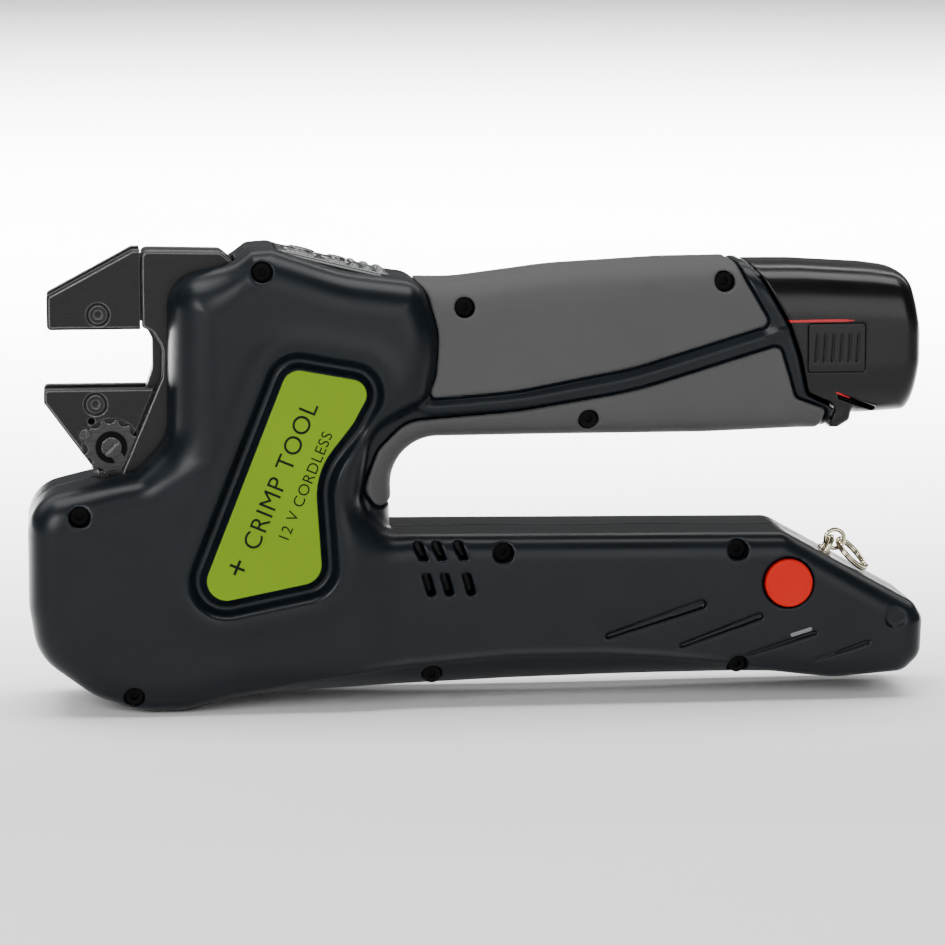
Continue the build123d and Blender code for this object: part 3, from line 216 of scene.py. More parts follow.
def keypad_axes(g):
    """Distances along and out of the keypad's slope."""
    dx, dz = g.x - KEYPAD_AT[0], g.z - KEYPAD_AT[1]
    c, s = math.cos(KEYPAD_ANGLE), math.sin(KEYPAD_ANGLE)
    return dx * c + dz * s, dz * c - dx * s


def rounded_box(u, v, half_u, half_v, radius):
    qu, qv = np.abs(u) - half_u + radius, np.abs(v) - half_v + radius
    outside = np.sqrt(np.maximum(qu, 0) ** 2 + np.maximum(qv, 0) ** 2)
    return outside + np.minimum(np.maximum(qu, qv), 0) - radius


# ---- the shapes of the tool ---------------------------------------------------------------------------------
def under_facet(g):
    """How much thinner the flank is below the crease that runs along its lower edge."""
    crease = np.interp(g.x[:, 0, 0], CREASE_X, CREASE_Z)[:, None, None].astype(np.float32)
    ridge = 0.35 * np.exp(-((g.z - crease - 0.5) / 1.0) ** 2) * ramp(g.x, -60, -30)
    return (0.85 * np.maximum(crease - g.z, 0) - ridge) * ramp(g.x, -92, -62) * (1 - ramp(g.x, 84, 108))


def arm_share(g):
    """0 on the head, 1 on the arm."""
    return ramp(g.x, -46, -22) * (1 - ramp(g.z, 58, 76))


def lower_shell(g):
    """Head and arm as one soft shape: the label lies in a moat with a swell round it."""
    near_label = g.outline(LABEL)
    moat = np.cos(np.clip((near_label - 3.0) / 3.9, -1, 1) * math.pi / 2) ** 2
    swell = np.exp(-((near_label - 9.5) / 4.2) ** 2)
    floor = ramp(near_label, 0.6, -0.4)
    arm = arm_share(g)
    half = HEAD_HALF - (HEAD_HALF - ARM_HALF) * arm - 1.2 * ramp(g.x, 95, 150) - under_facet(g)
    half = half - 3.3 * moat * (1 - floor) + 0.55 * swell - 0.3 * floor
    side = g.outline(BODY)
    soft = 12.5 + 5.5 * ramp(g.x, -78, -92) * ramp(g.z, 74, 86) - 4.0 * arm
    return blend_max(side, np.abs(g.y) - half, soft)


def handle_field(g):
    rim = 1 - ramp(g.outline(REAR_ROOM), 1.5, 10)
    half = HANDLE_HALF - 0.8 * np.exp(-((g.x - 20) / 30) ** 2) + 1.6 * rim
    body = blend_max(g.outline(HANDLE), np.abs(g.y) - half, 15.0)
    return blend_max(body, -(g.outline(REAR_ROOM) - 0.2), 0.6)


def battery_block(g):
    shell = blend_max(g.outline(BATTERY_LONG), np.abs(g.y) - BATTERY_HALF, 19.0)
    shell = blend_max(shell, g.outline(BATTERY), 6.5)
    tab = blend_max(g.outline(BATTERY_TAB), np.abs(g.y) - 19.5, 3.0)
    return blend_max(blend_min(shell, tab, 1.0), g.outline(REAR_ROOM) + 0.1, 0.6)


def stick_field(g, grow):
    return np.maximum(rounded_box(g.y, g.z - 117.3, 18 + grow, 19.9 + grow, 7 + grow), 53.5 - grow - g.x)


def grip_shape(g, corners):
    handle = handle_field(g)
    skin = np.maximum(blend_max(handle, g.outline(corners) + 0.25, 1.4), -(handle + 1.5))
    skin = np.maximum(skin, -(lower_shell(g) - 0.15))
    skin = np.maximum(skin, -stick_field(g, 0.6))
    return skin


def pocketed(field, g, left):
    """Cuts the screw pockets of the handle into a grip; only the left side has them."""
    if left:
        for centre in HANDLE_SCREWS:
            field = blend_max(field, -(disc(g, centre, POCKET_R) + 0 * g.y), 0.5)
    return field


def drive_room(g):
    """Rooms inside the housing for the moving parts of the drive, over their whole travel."""
    rooms = []
    for node, low_travel, high_travel in DRIVE_TRAVEL:
        low, high = (np.array(corner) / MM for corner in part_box(node))
        low, high = low - ROOM_GAP + low_travel, high + ROOM_GAP + high_travel
        middle, half = (low + high) / 2, (high - low) / 2
        reach = [np.abs(axis - middle[i]) - half[i] for i, axis in enumerate((g.x, g.y, g.z))]
        rooms.append(np.maximum(np.maximum(reach[0], reach[1]), reach[2]))
    return np.minimum.reduce(rooms)


def housing_shape(g, left):
    handle = handle_field(g)
    middle = g.outline(UPPER_GRIP) - g.outline(LOWER_GRIP)
    between = 1 - ramp(np.maximum(g.outline(UPPER_GRIP), g.outline(LOWER_GRIP)), 5, 8)
    core = handle + 0.5 - 1.1 * between * np.exp(-(middle / 4.0) ** 2)
    for corners in (UPPER_GRIP, LOWER_GRIP):
        core = blend_max(core, -np.maximum(g.outline(corners) - 0.45, -(handle + 1.6)), 0.6)
    lower = lower_shell(g)
    shell = blend_min(lower, core, 1.6)
    between_plates = np.abs(g.y) - FRAME_SLOT_HALF
    opening = np.maximum(g.outline(FRAME_SLOT), between_plates)
    rod_hole = np.maximum(disc(g, (-121.0, 88.0), 13.4), between_plates)
    top_gap = np.maximum(rounded_box(g.x + 91, g.z - 151, 11, 5, 1), between_plates)
    shell = blend_max(shell, -np.minimum(np.minimum(opening, rod_hole), top_gap), 0.9)
    shell = np.maximum(shell, -np.maximum(drive_room(g), lower + 2.2))
    along, out = keypad_axes(g)
    keypad = np.maximum(rounded_box(along, g.y, 19.25, 13.25, 4), -1.6 - out)
    shell = blend_max(shell, -keypad, 0.8)
    shell = np.maximum(shell, -stick_field(g, 0.5))
    for x in (-21.6, -15.6, -8.4):
        upper_vent = blend_max(bar(g, (x + 0.2, 54.2), (x + 2.2, 49.0), 1.45), 49.6 - g.z, 0.5)
        upper_vent = blend_max(upper_vent, -disc(g, (x - 2.4, 49.6), 2.9), 0.4)
        lower_vent = blend_max(bar(g, (x + 2.4, 46.0), (x + 4.4, 39.0), 1.35), g.z - 45.3, 0.5)
        for vent in (upper_vent, lower_vent):
            shell = blend_max(shell, -np.maximum(vent, VENT_FLOOR - np.abs(g.y)), 0.5)
    for start, end, radius, depth in RECESSES:
        deepening = 0.62 + 0.38 * ramp(g.x, start[0], end[0])
        cut = np.maximum(bar(g, start, end, 0) - radius * deepening, -(lower + depth * deepening))
        shell = blend_max(shell, -cut, 0.5)
    if left:
        for centres, half in ((HEAD_SCREWS, 29.0), (ARM_SCREWS, 24.5), (HANDLE_SCREWS, 22.0)):
            for centre in centres:
                depth = PLUG_DEPTH if centre == REAR_PLUG else POCKET_DEPTH
                shell = blend_max(shell, -np.maximum(disc(g, centre, POCKET_R), g.y + half - depth), 0.5)
        shell = blend_max(shell, -np.maximum(disc(g, BUTTON, BUTTON_R + 0.45), g.y + BUTTON_WELL), 0.5)
    return shell


# ---- meshes from fields -------------------------------------------------------------------------------------
def sample(values, places):
    """Values of a grid at places given in cells, between samples."""
    base = np.clip(places.astype(int), 0, np.array(values.shape) - 2)
    f = places - base
    total = 0
    for corner in range(8):
        dx, dy, dz = corner & 1, corner >> 1 & 1, corner >> 2 & 1
        weight = f[:, 0] if dx else 1 - f[:, 0]
        weight = weight * (f[:, 1] if dy else 1 - f[:, 1])
        weight = weight * (f[:, 2] if dz else 1 - f[:, 2])
        total = total + weight * values[base[:, 0] + dx, base[:, 1] + dy, base[:, 2] + dz]
    return total


def surface(field, g):
    """Vertices (mm) and quads of the surface where the field is zero."""
    shape = (g.x.shape[0], g.y.shape[1], g.z.shape[2])
    field = np.ascontiguousarray(np.broadcast_to(field, shape)).astype(np.float32)
    solid = field < 0
    count = np.zeros([n - 1 for n in field.shape], np.int8)
    for corner in range(8):
        dx, dy, dz = corner & 1, corner >> 1 & 1, corner >> 2 & 1
        count += solid[dx:dx + count.shape[0], dy:dy + count.shape[1], dz:dz + count.shape[2]]
    cells = np.argwhere((count > 0) & (count < 8))
    ids = np.full(count.shape, -1, np.int32)
    ids[tuple(cells.T)] = np.arange(len(cells))
    total, hits = np.zeros((len(cells), 3)), np.zeros(len(cells))
    for axis in range(3):
        for u in (0, 1):
            for v in (0, 1):
                a = np.zeros(3, int)
                a[(axis + 1) % 3], a[(axis + 2) % 3] = u, v
                b = a.copy()
                b[axis] = 1
                fa, fb = field[tuple((cells + a).T)], field[tuple((cells + b).T)]
                cut = (fa < 0) != (fb < 0)
                t = np.where(cut, fa / np.where(cut, fa - fb, 1), 0)
                total += np.where(cut[:, None], a + t[:, None] * (b - a), 0)
                hits += cut
    places = cells + total / hits[:, None]
    quads = []
    for axis in range(3):
        first = np.take(solid, range(field.shape[axis] - 1), axis)
        second = np.take(solid, range(1, field.shape[axis]), axis)
        edges = np.argwhere(first != second)
        du, dv = np.zeros(3, int), np.zeros(3, int)
        du[(axis + 1) % 3], dv[(axis + 2) % 3] = 1, 1
        keep = (edges[:, (axis + 1) % 3] > 0) & (edges[:, (axis + 2) % 3] > 0)
        keep &= (edges[:, (axis + 1) % 3] < field.shape[(axis + 1) % 3] - 1)
        keep &= (edges[:, (axis + 2) % 3] < field.shape[(axis + 2) % 3] - 1)
        edges = edges[keep]
        around = (edges - du - dv, edges - dv, edges, edges - du)
        quad = np.stack([ids[tuple(cell.T)] for cell in around], 1)
        outward = first[tuple(edges.T)]
        quads.append(np.where(outward[:, None], quad, quad[:, ::-1]))
    quads = np.concatenate(quads)
    slopes = np.gradient(field)
    for _ in range(3):
        sums, links = np.zeros_like(places), np.zeros(len(places))
        for side in range(4):
            np.add.at(sums, quads[:, side], places[quads[:, side - 1]])
            np.add.at(links, quads[:, side], 1)
        places = 0.55 * places + 0.45 * sums / np.maximum(links, 1)[:, None]
        value = sample(field, places)
        slope = np.stack([sample(s, places) for s in slopes], 1)
        move = value / np.maximum((slope ** 2).sum(1), 0.02 * g.step ** 2)
        shift = slope * np.clip(move, -4, 4)[:, None]
        length = np.linalg.norm(shift, axis=1, keepdims=True)
        places -= shift * np.minimum(1, 0.7 / np.maximum(length, 1e-9))
    return g.low + places * g.step, quads


def side_surface(field, g, side):
    """The surface of a field sampled on the left side, mirrored when side is the right one."""
    verts, quads = surface(field, g)
    if side == 1:
        return verts * [1, -1, 1], quads[:, ::-1]
    return verts, quads


def finish_piece(obj, body, material, replaces=()):
    obj.data.materials.clear()
    obj.data.materials.append(material)
    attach(obj, body)
    if replaces:
        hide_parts(*replaces)


def new_object(name, verts, faces, smooth=True):
    mesh = bpy.data.meshes.new(name)
    mesh.from_pydata((np.asarray(verts, float) * MM).tolist(), [], [list(map(int, f)) for f in faces])
    mesh.validate()
    mesh.update()
    obj = bpy.data.objects.new(name, mesh)
    bpy.context.scene.collection.objects.link(obj)
    mesh.polygons.foreach_set("use_smooth", [smooth] * len(mesh.polygons))
    return obj


def thin_out(obj, most):
    """Collapses the flattest faces until no more than this many triangles are left."""
    triangles = sum(len(p.vertices) - 2 for p in obj.data.polygons)
    if triangles <= most:
        return
    modifier = obj.modifiers.new("thin", "DECIMATE")
    modifier.ratio = most / triangles
    bpy.context.view_layer.update()
    reduced = bpy.data.meshes.new_from_object(obj.evaluated_get(bpy.context.evaluated_depsgraph_get()))
    obj.modifiers.clear()
    obj.data = reduced
    reduced.polygons.foreach_set("use_smooth", [True] * len(reduced.polygons))


def sculpt(name, field, g, body, material, replaces):
    obj = new_object(name, *surface(field, g))
    thin_out(obj, MOST_TRIANGLES)
    finish_piece(obj, body, material, replaces)


def halves(name, shape, low, high, material):
    """The left piece of a shape and its mirror image on the right, with a fine gap between them."""
    for side, tag in SIDES:
        g = Grid(low, high, STEP)
        field = blend_max(shape(g, tag == "Left"), g.y + PARTING_GAP, 0.5)
        obj = new_object(name + "_" + tag, *side_surface(field, g, side))
        thin_out(obj, MOST_TRIANGLES)
        finish_piece(obj, "tool", material, (f"{name}_{tag}".lower(),))


def prism(name, points, y_near, y_far, bevel):
    """A flat piece between two distances left of the parting plane, with a rounded front edge."""
    mesh = bpy.data.meshes.new(name)
    bm = bmesh.new()
    front = [bm.verts.new((x * MM, -y_far * MM, z * MM)) for x, z in points]
    face = bm.faces.new(front)
    extruded = bmesh.ops.extrude_face_region(bm, geom=[face])
    moved = [v for v in extruded["geom"] if isinstance(v, bmesh.types.BMVert)]
    bmesh.ops.translate(bm, verts=moved, vec=(0, (y_far - y_near) * MM, 0))
    bmesh.ops.recalc_face_normals(bm, faces=bm.faces)
    rim = [e for e in bm.edges if all(abs(v.co.y + y_far * MM) < 1e-7 for v in e.verts)]
    if bevel:
        bmesh.ops.bevel(bm, geom=rim, offset=bevel * MM, segments=3, profile=0.5, affect="EDGES")
    bm.to_mesh(mesh)
    bm.free()
    obj = bpy.data.objects.new(name, mesh)
    bpy.context.scene.collection.objects.link(obj)
    return obj


def lathe(name, centre, profile, count=96):
    """A turned piece about an axis along Y at (x, z): profile is (radius, y), from the front to the back."""
    verts, faces = [], []
    for radius, y in profile:
        for step in range(count):
            angle = 2 * math.pi * step / count
            verts.append((centre[0] + radius * math.cos(angle), y, centre[1] + radius * math.sin(angle)))
    for row in range(len(profile) - 1):
        for step in range(count):
            after = (step + 1) % count
            a, b = row * count, (row + 1) * count
            faces.append((a + step, b + step, b + after, a + after))
    faces.append(range(count))
    faces.append(range(len(verts) - 1, len(verts) - 1 - count, -1))
    return new_object(name, verts, faces)


def wire(name, path, radius, closed, sides=14):
    """Round wire along a path of points (mm)."""
    path = np.asarray(path, float)
    ahead = np.roll(path, -1, 0) - np.roll(path, 1, 0)
    if not closed:
        ahead[0], ahead[-1] = path[1] - path[0], path[-1] - path[-2]
    ahead /= np.linalg.norm(ahead, axis=1, keepdims=True)
    normal = np.cross(ahead[0], [0.31, 0.87, 0.38])
    verts, faces = [], []
    for point, tangent in zip(path, ahead):
        normal = normal - tangent * (normal @ tangent)
        normal /= np.linalg.norm(normal)
        other = np.cross(tangent, normal)
        for side in range(sides):
            angle = 2 * math.pi * side / sides
            verts.append(point + radius * (math.cos(angle) * normal + math.sin(angle) * other))
    rows = len(path) if closed else len(path) - 1
    for row in range(rows):
        a, b = row * sides, (row + 1) % len(path) * sides
        for side in range(sides):
            after = (side + 1) % sides
            faces.append((a + side, a + after, b + after, b + side))
    if not closed:
        faces.append(range(sides - 1, -1, -1))
        faces.append(range(len(verts) - sides, len(verts)))
    return new_object(name, verts, faces)


# ---- materials ----------------------------------------------------------------------------------------------
def node_set(name):
    material = bpy.data.materials.new(name)
    material.use_nodes = True
    tree = material.node_tree
    return material, tree.nodes, tree.links, tree.nodes["Principled BSDF"]


def noise(nodes, links, scale, detail=3.0):
    coords = nodes.new("ShaderNodeTexCoord")
    texture = nodes.new("ShaderNodeTexNoise")
    texture.inputs["Scale"].default_value = scale
    texture.inputs["Detail"].default_value = detail
    links.new(coords.outputs["Object"], texture.inputs["Vector"])
    return texture.outputs["Fac"]


def ramp_between(nodes, links, factor, low, high, start=0.3, end=0.7):
    ramp_node = nodes.new("ShaderNodeValToRGB")
    ramp_node.color_ramp.elements[0].position = start
    ramp_node.color_ramp.elements[0].color = (*low, 1)
    ramp_node.color_ramp.elements[1].position = end
    ramp_node.color_ramp.elements[1].color = (*high, 1)
    links.new(factor, ramp_node.inputs["Fac"])
    return ramp_node.outputs["Color"]


def map_range(nodes, links, factor, low, high, start=0.3, end=0.7):
    mapper = nodes.new("ShaderNodeMapRange")
    for key, value in (("From Min", start), ("From Max", end), ("To Min", low), ("To Max", high)):
        mapper.inputs[key].default_value = value
    links.new(factor, mapper.inputs["Value"])
    return mapper.outputs["Result"]


def plastic(name, colour, rough, spread=0.14, scale=45, grain=2600, bump=0.05, coat=0.0, specular=0.5):
    """Moulded plastic or rubber: slow tone and gloss changes under a fine grain."""
    material, nodes, links, shader = node_set(name)
    slow = noise(nodes, links, scale)
    low = [c * (1 - spread) for c in colour]
    high = [c * (1 + spread) for c in colour]
    links.new(ramp_between(nodes, links, slow, low, high), shader.inputs["Base Color"])
    links.new(map_range(nodes, links, slow, rough * 0.9, rough * 1.1), shader.inputs["Roughness"])
    fine = nodes.new("ShaderNodeBump")
    fine.inputs["Strength"].default_value = bump
    fine.inputs["Distance"].default_value = 0.0002
    links.new(noise(nodes, links, grain, 2.0), fine.inputs["Height"])
    links.new(fine.outputs["Normal"], shader.inputs["Normal"])
    shader.inputs["Specular IOR Level"].default_value = specular
    shader.inputs["Coat Weight"].default_value = coat
    shader.inputs["Coat Roughness"].default_value = 0.12
    return material


def metal(name, colour, rough, edge=None, spread=0.2, scale=(90, 90, 900), edge_radius=0.0005, metallic=1.0):
    """Ground metal: fine streaks in one direction, and brighter edges where two faces meet, partly wear and
    partly a painted glint.
    """
    material, nodes, links, shader = node_set(name)
    coords = nodes.new("ShaderNodeTexCoord")
    stretch = nodes.new("ShaderNodeMapping")
    stretch.inputs["Scale"].default_value = scale
    streak = nodes.new("ShaderNodeTexNoise")
    streak.inputs["Scale"].default_value = 2.0
    streak.inputs["Detail"].default_value = 5.0
    links.new(coords.outputs["Object"], stretch.inputs["Vector"])
    links.new(stretch.outputs["Vector"], streak.inputs["Vector"])
    low = [c * (1 - spread) for c in colour]
    high = [c * (1 + spread) for c in colour]
    base = ramp_between(nodes, links, streak.outputs["Fac"], low, high)
    gloss = map_range(nodes, links, streak.outputs["Fac"], rough * 0.8, rough * 1.2)
    links.new(gloss, shader.inputs["Roughness"])
    if edge:
        bevel = nodes.new("ShaderNodeBevel")
        bevel.inputs["Radius"].default_value = edge_radius
        surface_normal = nodes.new("ShaderNodeNewGeometry")
        agree = nodes.new("ShaderNodeVectorMath")
        agree.operation = "DOT_PRODUCT"
        links.new(bevel.outputs["Normal"], agree.inputs[0])
        links.new(surface_normal.outputs["Normal"], agree.inputs[1])
        # edge colour: partly wear, partly a painted glint along every edge
        wear_and_glint = map_range(nodes, links, agree.outputs["Value"], 1.0, 0.0, 0.93, 0.995)
        mix = nodes.new("ShaderNodeMix")
        mix.data_type = "RGBA"
        links.new(wear_and_glint, mix.inputs["Factor"])
        links.new(base, mix.inputs["A"])
        mix.inputs["B"].default_value = (*edge, 1)
        base = mix.outputs["Result"]
        links.new(bevel.outputs["Normal"], shader.inputs["Normal"])
    links.new(base, shader.inputs["Base Color"])
    shader.inputs["Metallic"].default_value = metallic
    return material


NYLON = plastic("blue_black_nylon", (0.0024, 0.0042, 0.0062), 0.33, bump=0.07, grain=2200, specular=0.19)
GRIP = plastic("grey_soft_grip", (0.052, 0.052, 0.053), 0.60, spread=0.05, bump=0.12, specular=0.15)
GREEN = plastic("green_label", (0.118, 0.215, 0.0015), 0.45, spread=0.05, scale=30, grain=1800, bump=0.02,
                specular=0.12)
INK = plastic("black_print", (0.003, 0.004, 0.002), 0.6, bump=0.02, specular=0.1)
GLOSS_BLACK = plastic("gloss_black", (0.0022, 0.0022, 0.0022), 0.24, bump=0.02, specular=0.24)
RED = plastic("red_button", (0.44, 0.005, 0.0015), 0.4, spread=0.06, bump=0.03, specular=0.1)
RED_LINE = plastic("red_inlay", (0.36, 0.004, 0.008), 0.28, spread=0.1, bump=0.02, specular=0.3)
KEYPAD = plastic("keypad_film", (0.022, 0.024, 0.025), 0.14, bump=0.03, coat=0.5, specular=0.8)
LENS = plastic("clear_lens", (0.12, 0.15, 0.13), 0.12, bump=0.02)
GREY_BAR = plastic("grey_window", (0.10, 0.11, 0.11), 0.3, bump=0.02)
# The lighter edge colours below are partly wear and partly a painted glint on the edges.
BLACK_STEEL = metal("black_oxide_steel", (0.011, 0.011, 0.011), 0.34, (0.21, 0.21, 0.21), spread=0.12,
                    edge_radius=0.0006, metallic=0.75)
# Near-black and almost without gloss: black oxide darkened further to paint the shade inside the screw pockets.
# The retaining clip shares it.
SCREW_BLACK_WITH_SHADE = plastic("screw_black_with_painted_shade", (0.0012, 0.0012, 0.0012), 0.42, bump=0.02, specular=0.05)
DARK_STEEL = metal("worn_glint_edged_dark_steel", (0.032, 0.032, 0.032), 0.3, (0.2, 0.2, 0.19), metallic=0.8)
BRIGHT_STEEL = metal("bright_steel", (0.30, 0.30, 0.31), 0.30, (0.7, 0.7, 0.7))
NICKEL = metal("nickel_wire", (0.56, 0.51, 0.37), 0.15, spread=0.1, scale=(400, 400, 400))
BRONZE = metal("sintered_bronze", (0.55, 0.38, 0.18), 0.4)
COPPER = metal("plated_contact", (0.75, 0.5, 0.3), 0.3)
MAGNET = metal("ferrite", (0.05, 0.05, 0.055), 0.5, metallic=0.6)
BOARD = plastic("board_laminate", (0.02, 0.12, 0.05), 0.4)
CAP_PLASTIC = plastic("glass_filled_nylon", (0.12, 0.12, 0.12), 0.5)
SLEEVE = plastic("cell_sleeve", (0.03, 0.12, 0.3), 0.25)

BY_SLOT = {
    "housing": NYLON, "grip": GRIP, "label": GREEN, "blackened_steel": BLACK_STEEL,
    "bright_steel": BRIGHT_STEEL, "bronze": BRONZE, "battery_plastic": GLOSS_BLACK, "cell_sleeve": SLEEVE,
    "copper": COPPER, "button_red": RED, "keypad": KEYPAD, "lens": LENS, "board": BOARD, "magnet": MAGNET,
    "cap_plastic": CAP_PLASTIC, "nickel": NICKEL,
}
# Parts in the darker worn steel. For the eccentric pin, adjusting wheel and wheel lock screw this is their own
# tone. For the push rod, spring stop and return spring the dark tone is painted shade.
DARK_STEEL_PARTS = ("eccentric_pin", "adjusting_wheel", "wheel_lock_screw", "push_rod", "spring_stop", "return_spring")
FINISHES = {name: DARK_STEEL for name in DARK_STEEL_PARTS}
# housing screws and retaining clip: near-black, partly painted pocket shade
FINISHES |= {name: SCREW_BLACK_WITH_SHADE for name in ("housing_screws", "retaining_clip")}
# die screws: black oxide steel, whose lighter rim and hex edges are partly wear and partly a painted glint
FINISHES |= {name: BLACK_STEEL for name in ("upper_die_screw", "lower_die_screw")}
for part in frame["record"]["subparts"]:
    node = frame["nodes"][part["node"]]
    node.data.materials.clear()
    node.data.materials.append(FINISHES.get(part["node"], BY_SLOT[part["material_slot"]]))

# ---- housing and grips --------------------------------------------------------------------------------------
halves("Housing", housing_shape, (-151, -31, -2), (151, 1.2, 154.5), NYLON)
halves("Upper_Grip", lambda g, left: pocketed(grip_shape(g, UPPER_GRIP), g, left), (-30, -24, 98),
       (100, 1.2, 150), GRIP)
halves("Lower_Grip", lambda g, left: pocketed(grip_shape(g, LOWER_GRIP), g, left), (-44, -24, 60),
       (118, 1.2, 124), GRIP)

# ---- labels with a generic print ----------------------------------------------------------------------------
LABEL_FACE = 28.35
PRINT_LEAN = math.radians(67)
PRINT = (
    ("Print_Name_", "CRIMP TOOL", 8.3, (-66.6, 79.0)), ("Print_Note_", "12 V CORDLESS", 5.2, (-58.6, 75.4)),
    ("Print_Mark_", "+", 11.0, (-80.5, 49.0)),
)


def lettering(name, text, size, middle, angle, y):
    """Raised print 0.05 mm thick, laid along a line on a flank."""
    curve = bpy.data.curves.new(name, "FONT")
    curve.body = text
    curve.size = size * MM
    curve.align_x, curve.align_y = "CENTER", "CENTER"
    curve.extrude = 0.05 * MM
    curve.space_character = 1.08
    text_obj = bpy.data.objects.new(name, curve)
    bpy.context.scene.collection.objects.link(text_obj)
    bpy.context.view_layer.update()
    mesh = bpy.data.meshes.new_from_object(text_obj.evaluated_get(bpy.context.evaluated_depsgraph_get()))
    bpy.data.objects.remove(text_obj)
    obj = bpy.data.objects.new(name, mesh)
    bpy.context.scene.collection.objects.link(obj)
    facing = 1 if y < 0 else -1
    c, s = math.cos(angle), math.sin(angle)
    for vertex in mesh.vertices:
        u, v, w = vertex.co
        along, up = u * c - v * s, u * s + v * c
        vertex.co = (middle[0] * MM + facing * along, (y * MM) - facing * w, middle[1] * MM + up)
    return obj


for side, tag in SIDES:
    sheet = prism("Label_" + tag, rounded(LABEL)[::-1], LABEL_FACE - 0.6, LABEL_FACE, 0.25)
    if tag == "Right":
        for vertex in sheet.data.vertices:
            vertex.co.y *= -1
        sheet.data.flip_normals()
    finish_piece(sheet, "tool", GREEN, ("label_" + tag.lower(),))
    for name, text, size, middle in PRINT:
        mark = lettering(name + tag, text, size, middle, -side * PRINT_LEAN, side * LABEL_FACE)
        finish_piece(mark, "tool", INK)

# ---- keypad, button and battery -----------------------------------------------------------------------------
def keypad_field(g):
    along, out = keypad_axes(g)
    edge = rounded_box(along, g.y, 19, 13, 4)
    start = np.sqrt((along - START_U) ** 2 + g.y ** 2)
    select = np.sqrt((along - SELECT_U) ** 2 + g.y ** 2)
    lens = rounded_box(along - LENS_U, g.y, 1.8, 6.2, 1.7)
    top = 0.5 + 0.7 * np.exp(-((start - 6.1) / 0.8) ** 2) + 0.6 * np.exp(-((select - 4.8) / 0.7) ** 2)
    for u, y in KEYPAD_BUMPS:
        top = top + 0.9 * np.exp(-(((along - u) ** 2 + (g.y - y) ** 2) / 1.6 ** 2) ** 2)
    panel = blend_max(blend_max(edge, out - top, 0.9), -1.5 - out, 0.4)
    for hole in (start - START_R - 0.25, select - SELECT_R - 0.25, lens - 0.15):
        panel = blend_max(panel, -hole, 0.4)
    return panel


fine = Grid((-69, -14, 138), (-27, 14, 155), 0.42)
sculpt("Keypad_Panel", keypad_field(fine), fine, "tool", KEYPAD, ("keypad_panel",))

dish = [
    (0.4, BUTTON_FACE + 0.35), (4.5, BUTTON_FACE + 0.22), (6.9, BUTTON_FACE + 0.02), (7.4, BUTTON_FACE),
    (7.72, BUTTON_FACE + 0.2), (7.84, BUTTON_FACE + 0.45), (BUTTON_R, BUTTON_FACE + 1.0), (BUTTON_R, -19.2),
    (0.4, -19.2),
]
finish_piece(lathe("Release_Button", BUTTON, dish), "button", RED, ("release_button",))


def latch_area(g, grow):
    return rounded_box(g.x - LATCH_AT[0], g.z - LATCH_AT[1], 9.5 + grow, 8.0 + grow, 1.0 + grow) + 0 * g.y


def battery_field(g):
    block = battery_block(g)
    slot = np.maximum(bar(g, (118.5, 101.9), (130.5, 97.2), 0.8), -(block + 2.0))
    block = blend_max(block, -slot, 0.4)
    block = np.maximum(block, -np.maximum(latch_area(g, 0.06), -(block + LATCH_ROOM)))
    stick = np.maximum(stick_field(g, 0.0), 55 - g.x)
    return blend_min(block, np.maximum(stick, g.x - 125), 0.3)


coarse = Grid((52, -25.5, 88), (151, 25.5, 150), 0.45)
sculpt("Battery_Block", battery_field(coarse), coarse, "battery", GLOSS_BLACK,
       ("battery_case",))

INLAYS = (
    ("Inlay_Line_", (98.6, 127.15), (122.6, 127.25), 0.5), ("Inlay_Dash_", (117.2, 103.2), (122.0, 101.2), 0.4),
)
for side, tag in SIDES:
    g = Grid((106, -25.5, 109), (128, -19, 128), 0.25)
    block = battery_block(g)
    ribs = 0
    for index in range(6):
        x = 110.0 + 2.75 * index
        ribs = np.maximum(ribs, 1 - ramp(bar(g, (x + 0.3, 122.6), (x - 0.2, 113.8), 0.1), 0.0, 0.45))
    pad = np.maximum(blend_max(latch_area(g, 0), block + 0.42 * ribs, 0.12), -(block + LATCH_DEPTH))
    pad_obj = new_object("Latch_Pad_" + tag, *side_surface(pad, g, side))
    thin_out(pad_obj, 60000)
    latch = "latch_" + tag.lower()
    finish_piece(pad_obj, latch, GLOSS_BLACK, ("battery_" + latch,))
    for name, start, end, width in INLAYS:
        low, high = min(start[1], end[1]) - 2, max(start[1], end[1]) + 2
        g = Grid((start[0] - 2, -25.5, low), (end[0] + 3, -16, high), 0.25)
        block = battery_block(g)
        taper = width * (1 - 0.75 * ramp(g.x, end[0] - 3.5, end[0] + 1.0))
        line = bar(g, start, end, 0) - taper
        line = blend_max(np.maximum(line, -(block + 0.6)), block - 0.06, 0.2)
        line_obj = new_object(name + tag, *side_surface(line, g, side))
        finish_piece(line_obj, "battery", RED_LINE)

# ---- lanyard eye, link and split ring -----------------------------------------------------------------------
SLOPE_DROP, SLOPE_RUN = 15.4, 27
SLOPE = math.atan2(-SLOPE_DROP, SLOPE_RUN)
ALONG, OUT = np.array([math.cos(SLOPE), 0, math.sin(SLOPE)]), np.array([-math.sin(SLOPE), 0, math.cos(SLOPE)])
FOOT = np.array([118.0, 0, 41 + 10 * SLOPE_DROP / SLOPE_RUN])
ACROSS = np.array([0, 1, 0])
EYE_HALF, EYE_TOP = 3.2, 5.2
LINK_R, RING_R = 3.2, 6.6
DIP, ROLL = math.radians(14), math.radians(16)
arch = [FOOT + EYE_HALF * side * ACROSS + rise * OUT for side, rise in ((-1, 0.2), (-1, 1.0))]
for t in np.linspace(0, math.pi, 25):
    arch.append(FOOT + EYE_HALF * (-math.cos(t) * ACROSS) + (1.9 + 3.3 * math.sin(t)) * OUT)
arch += [FOOT + EYE_HALF * side * ACROSS + rise * OUT for side, rise in ((1, 1.0), (1, 0.2))]
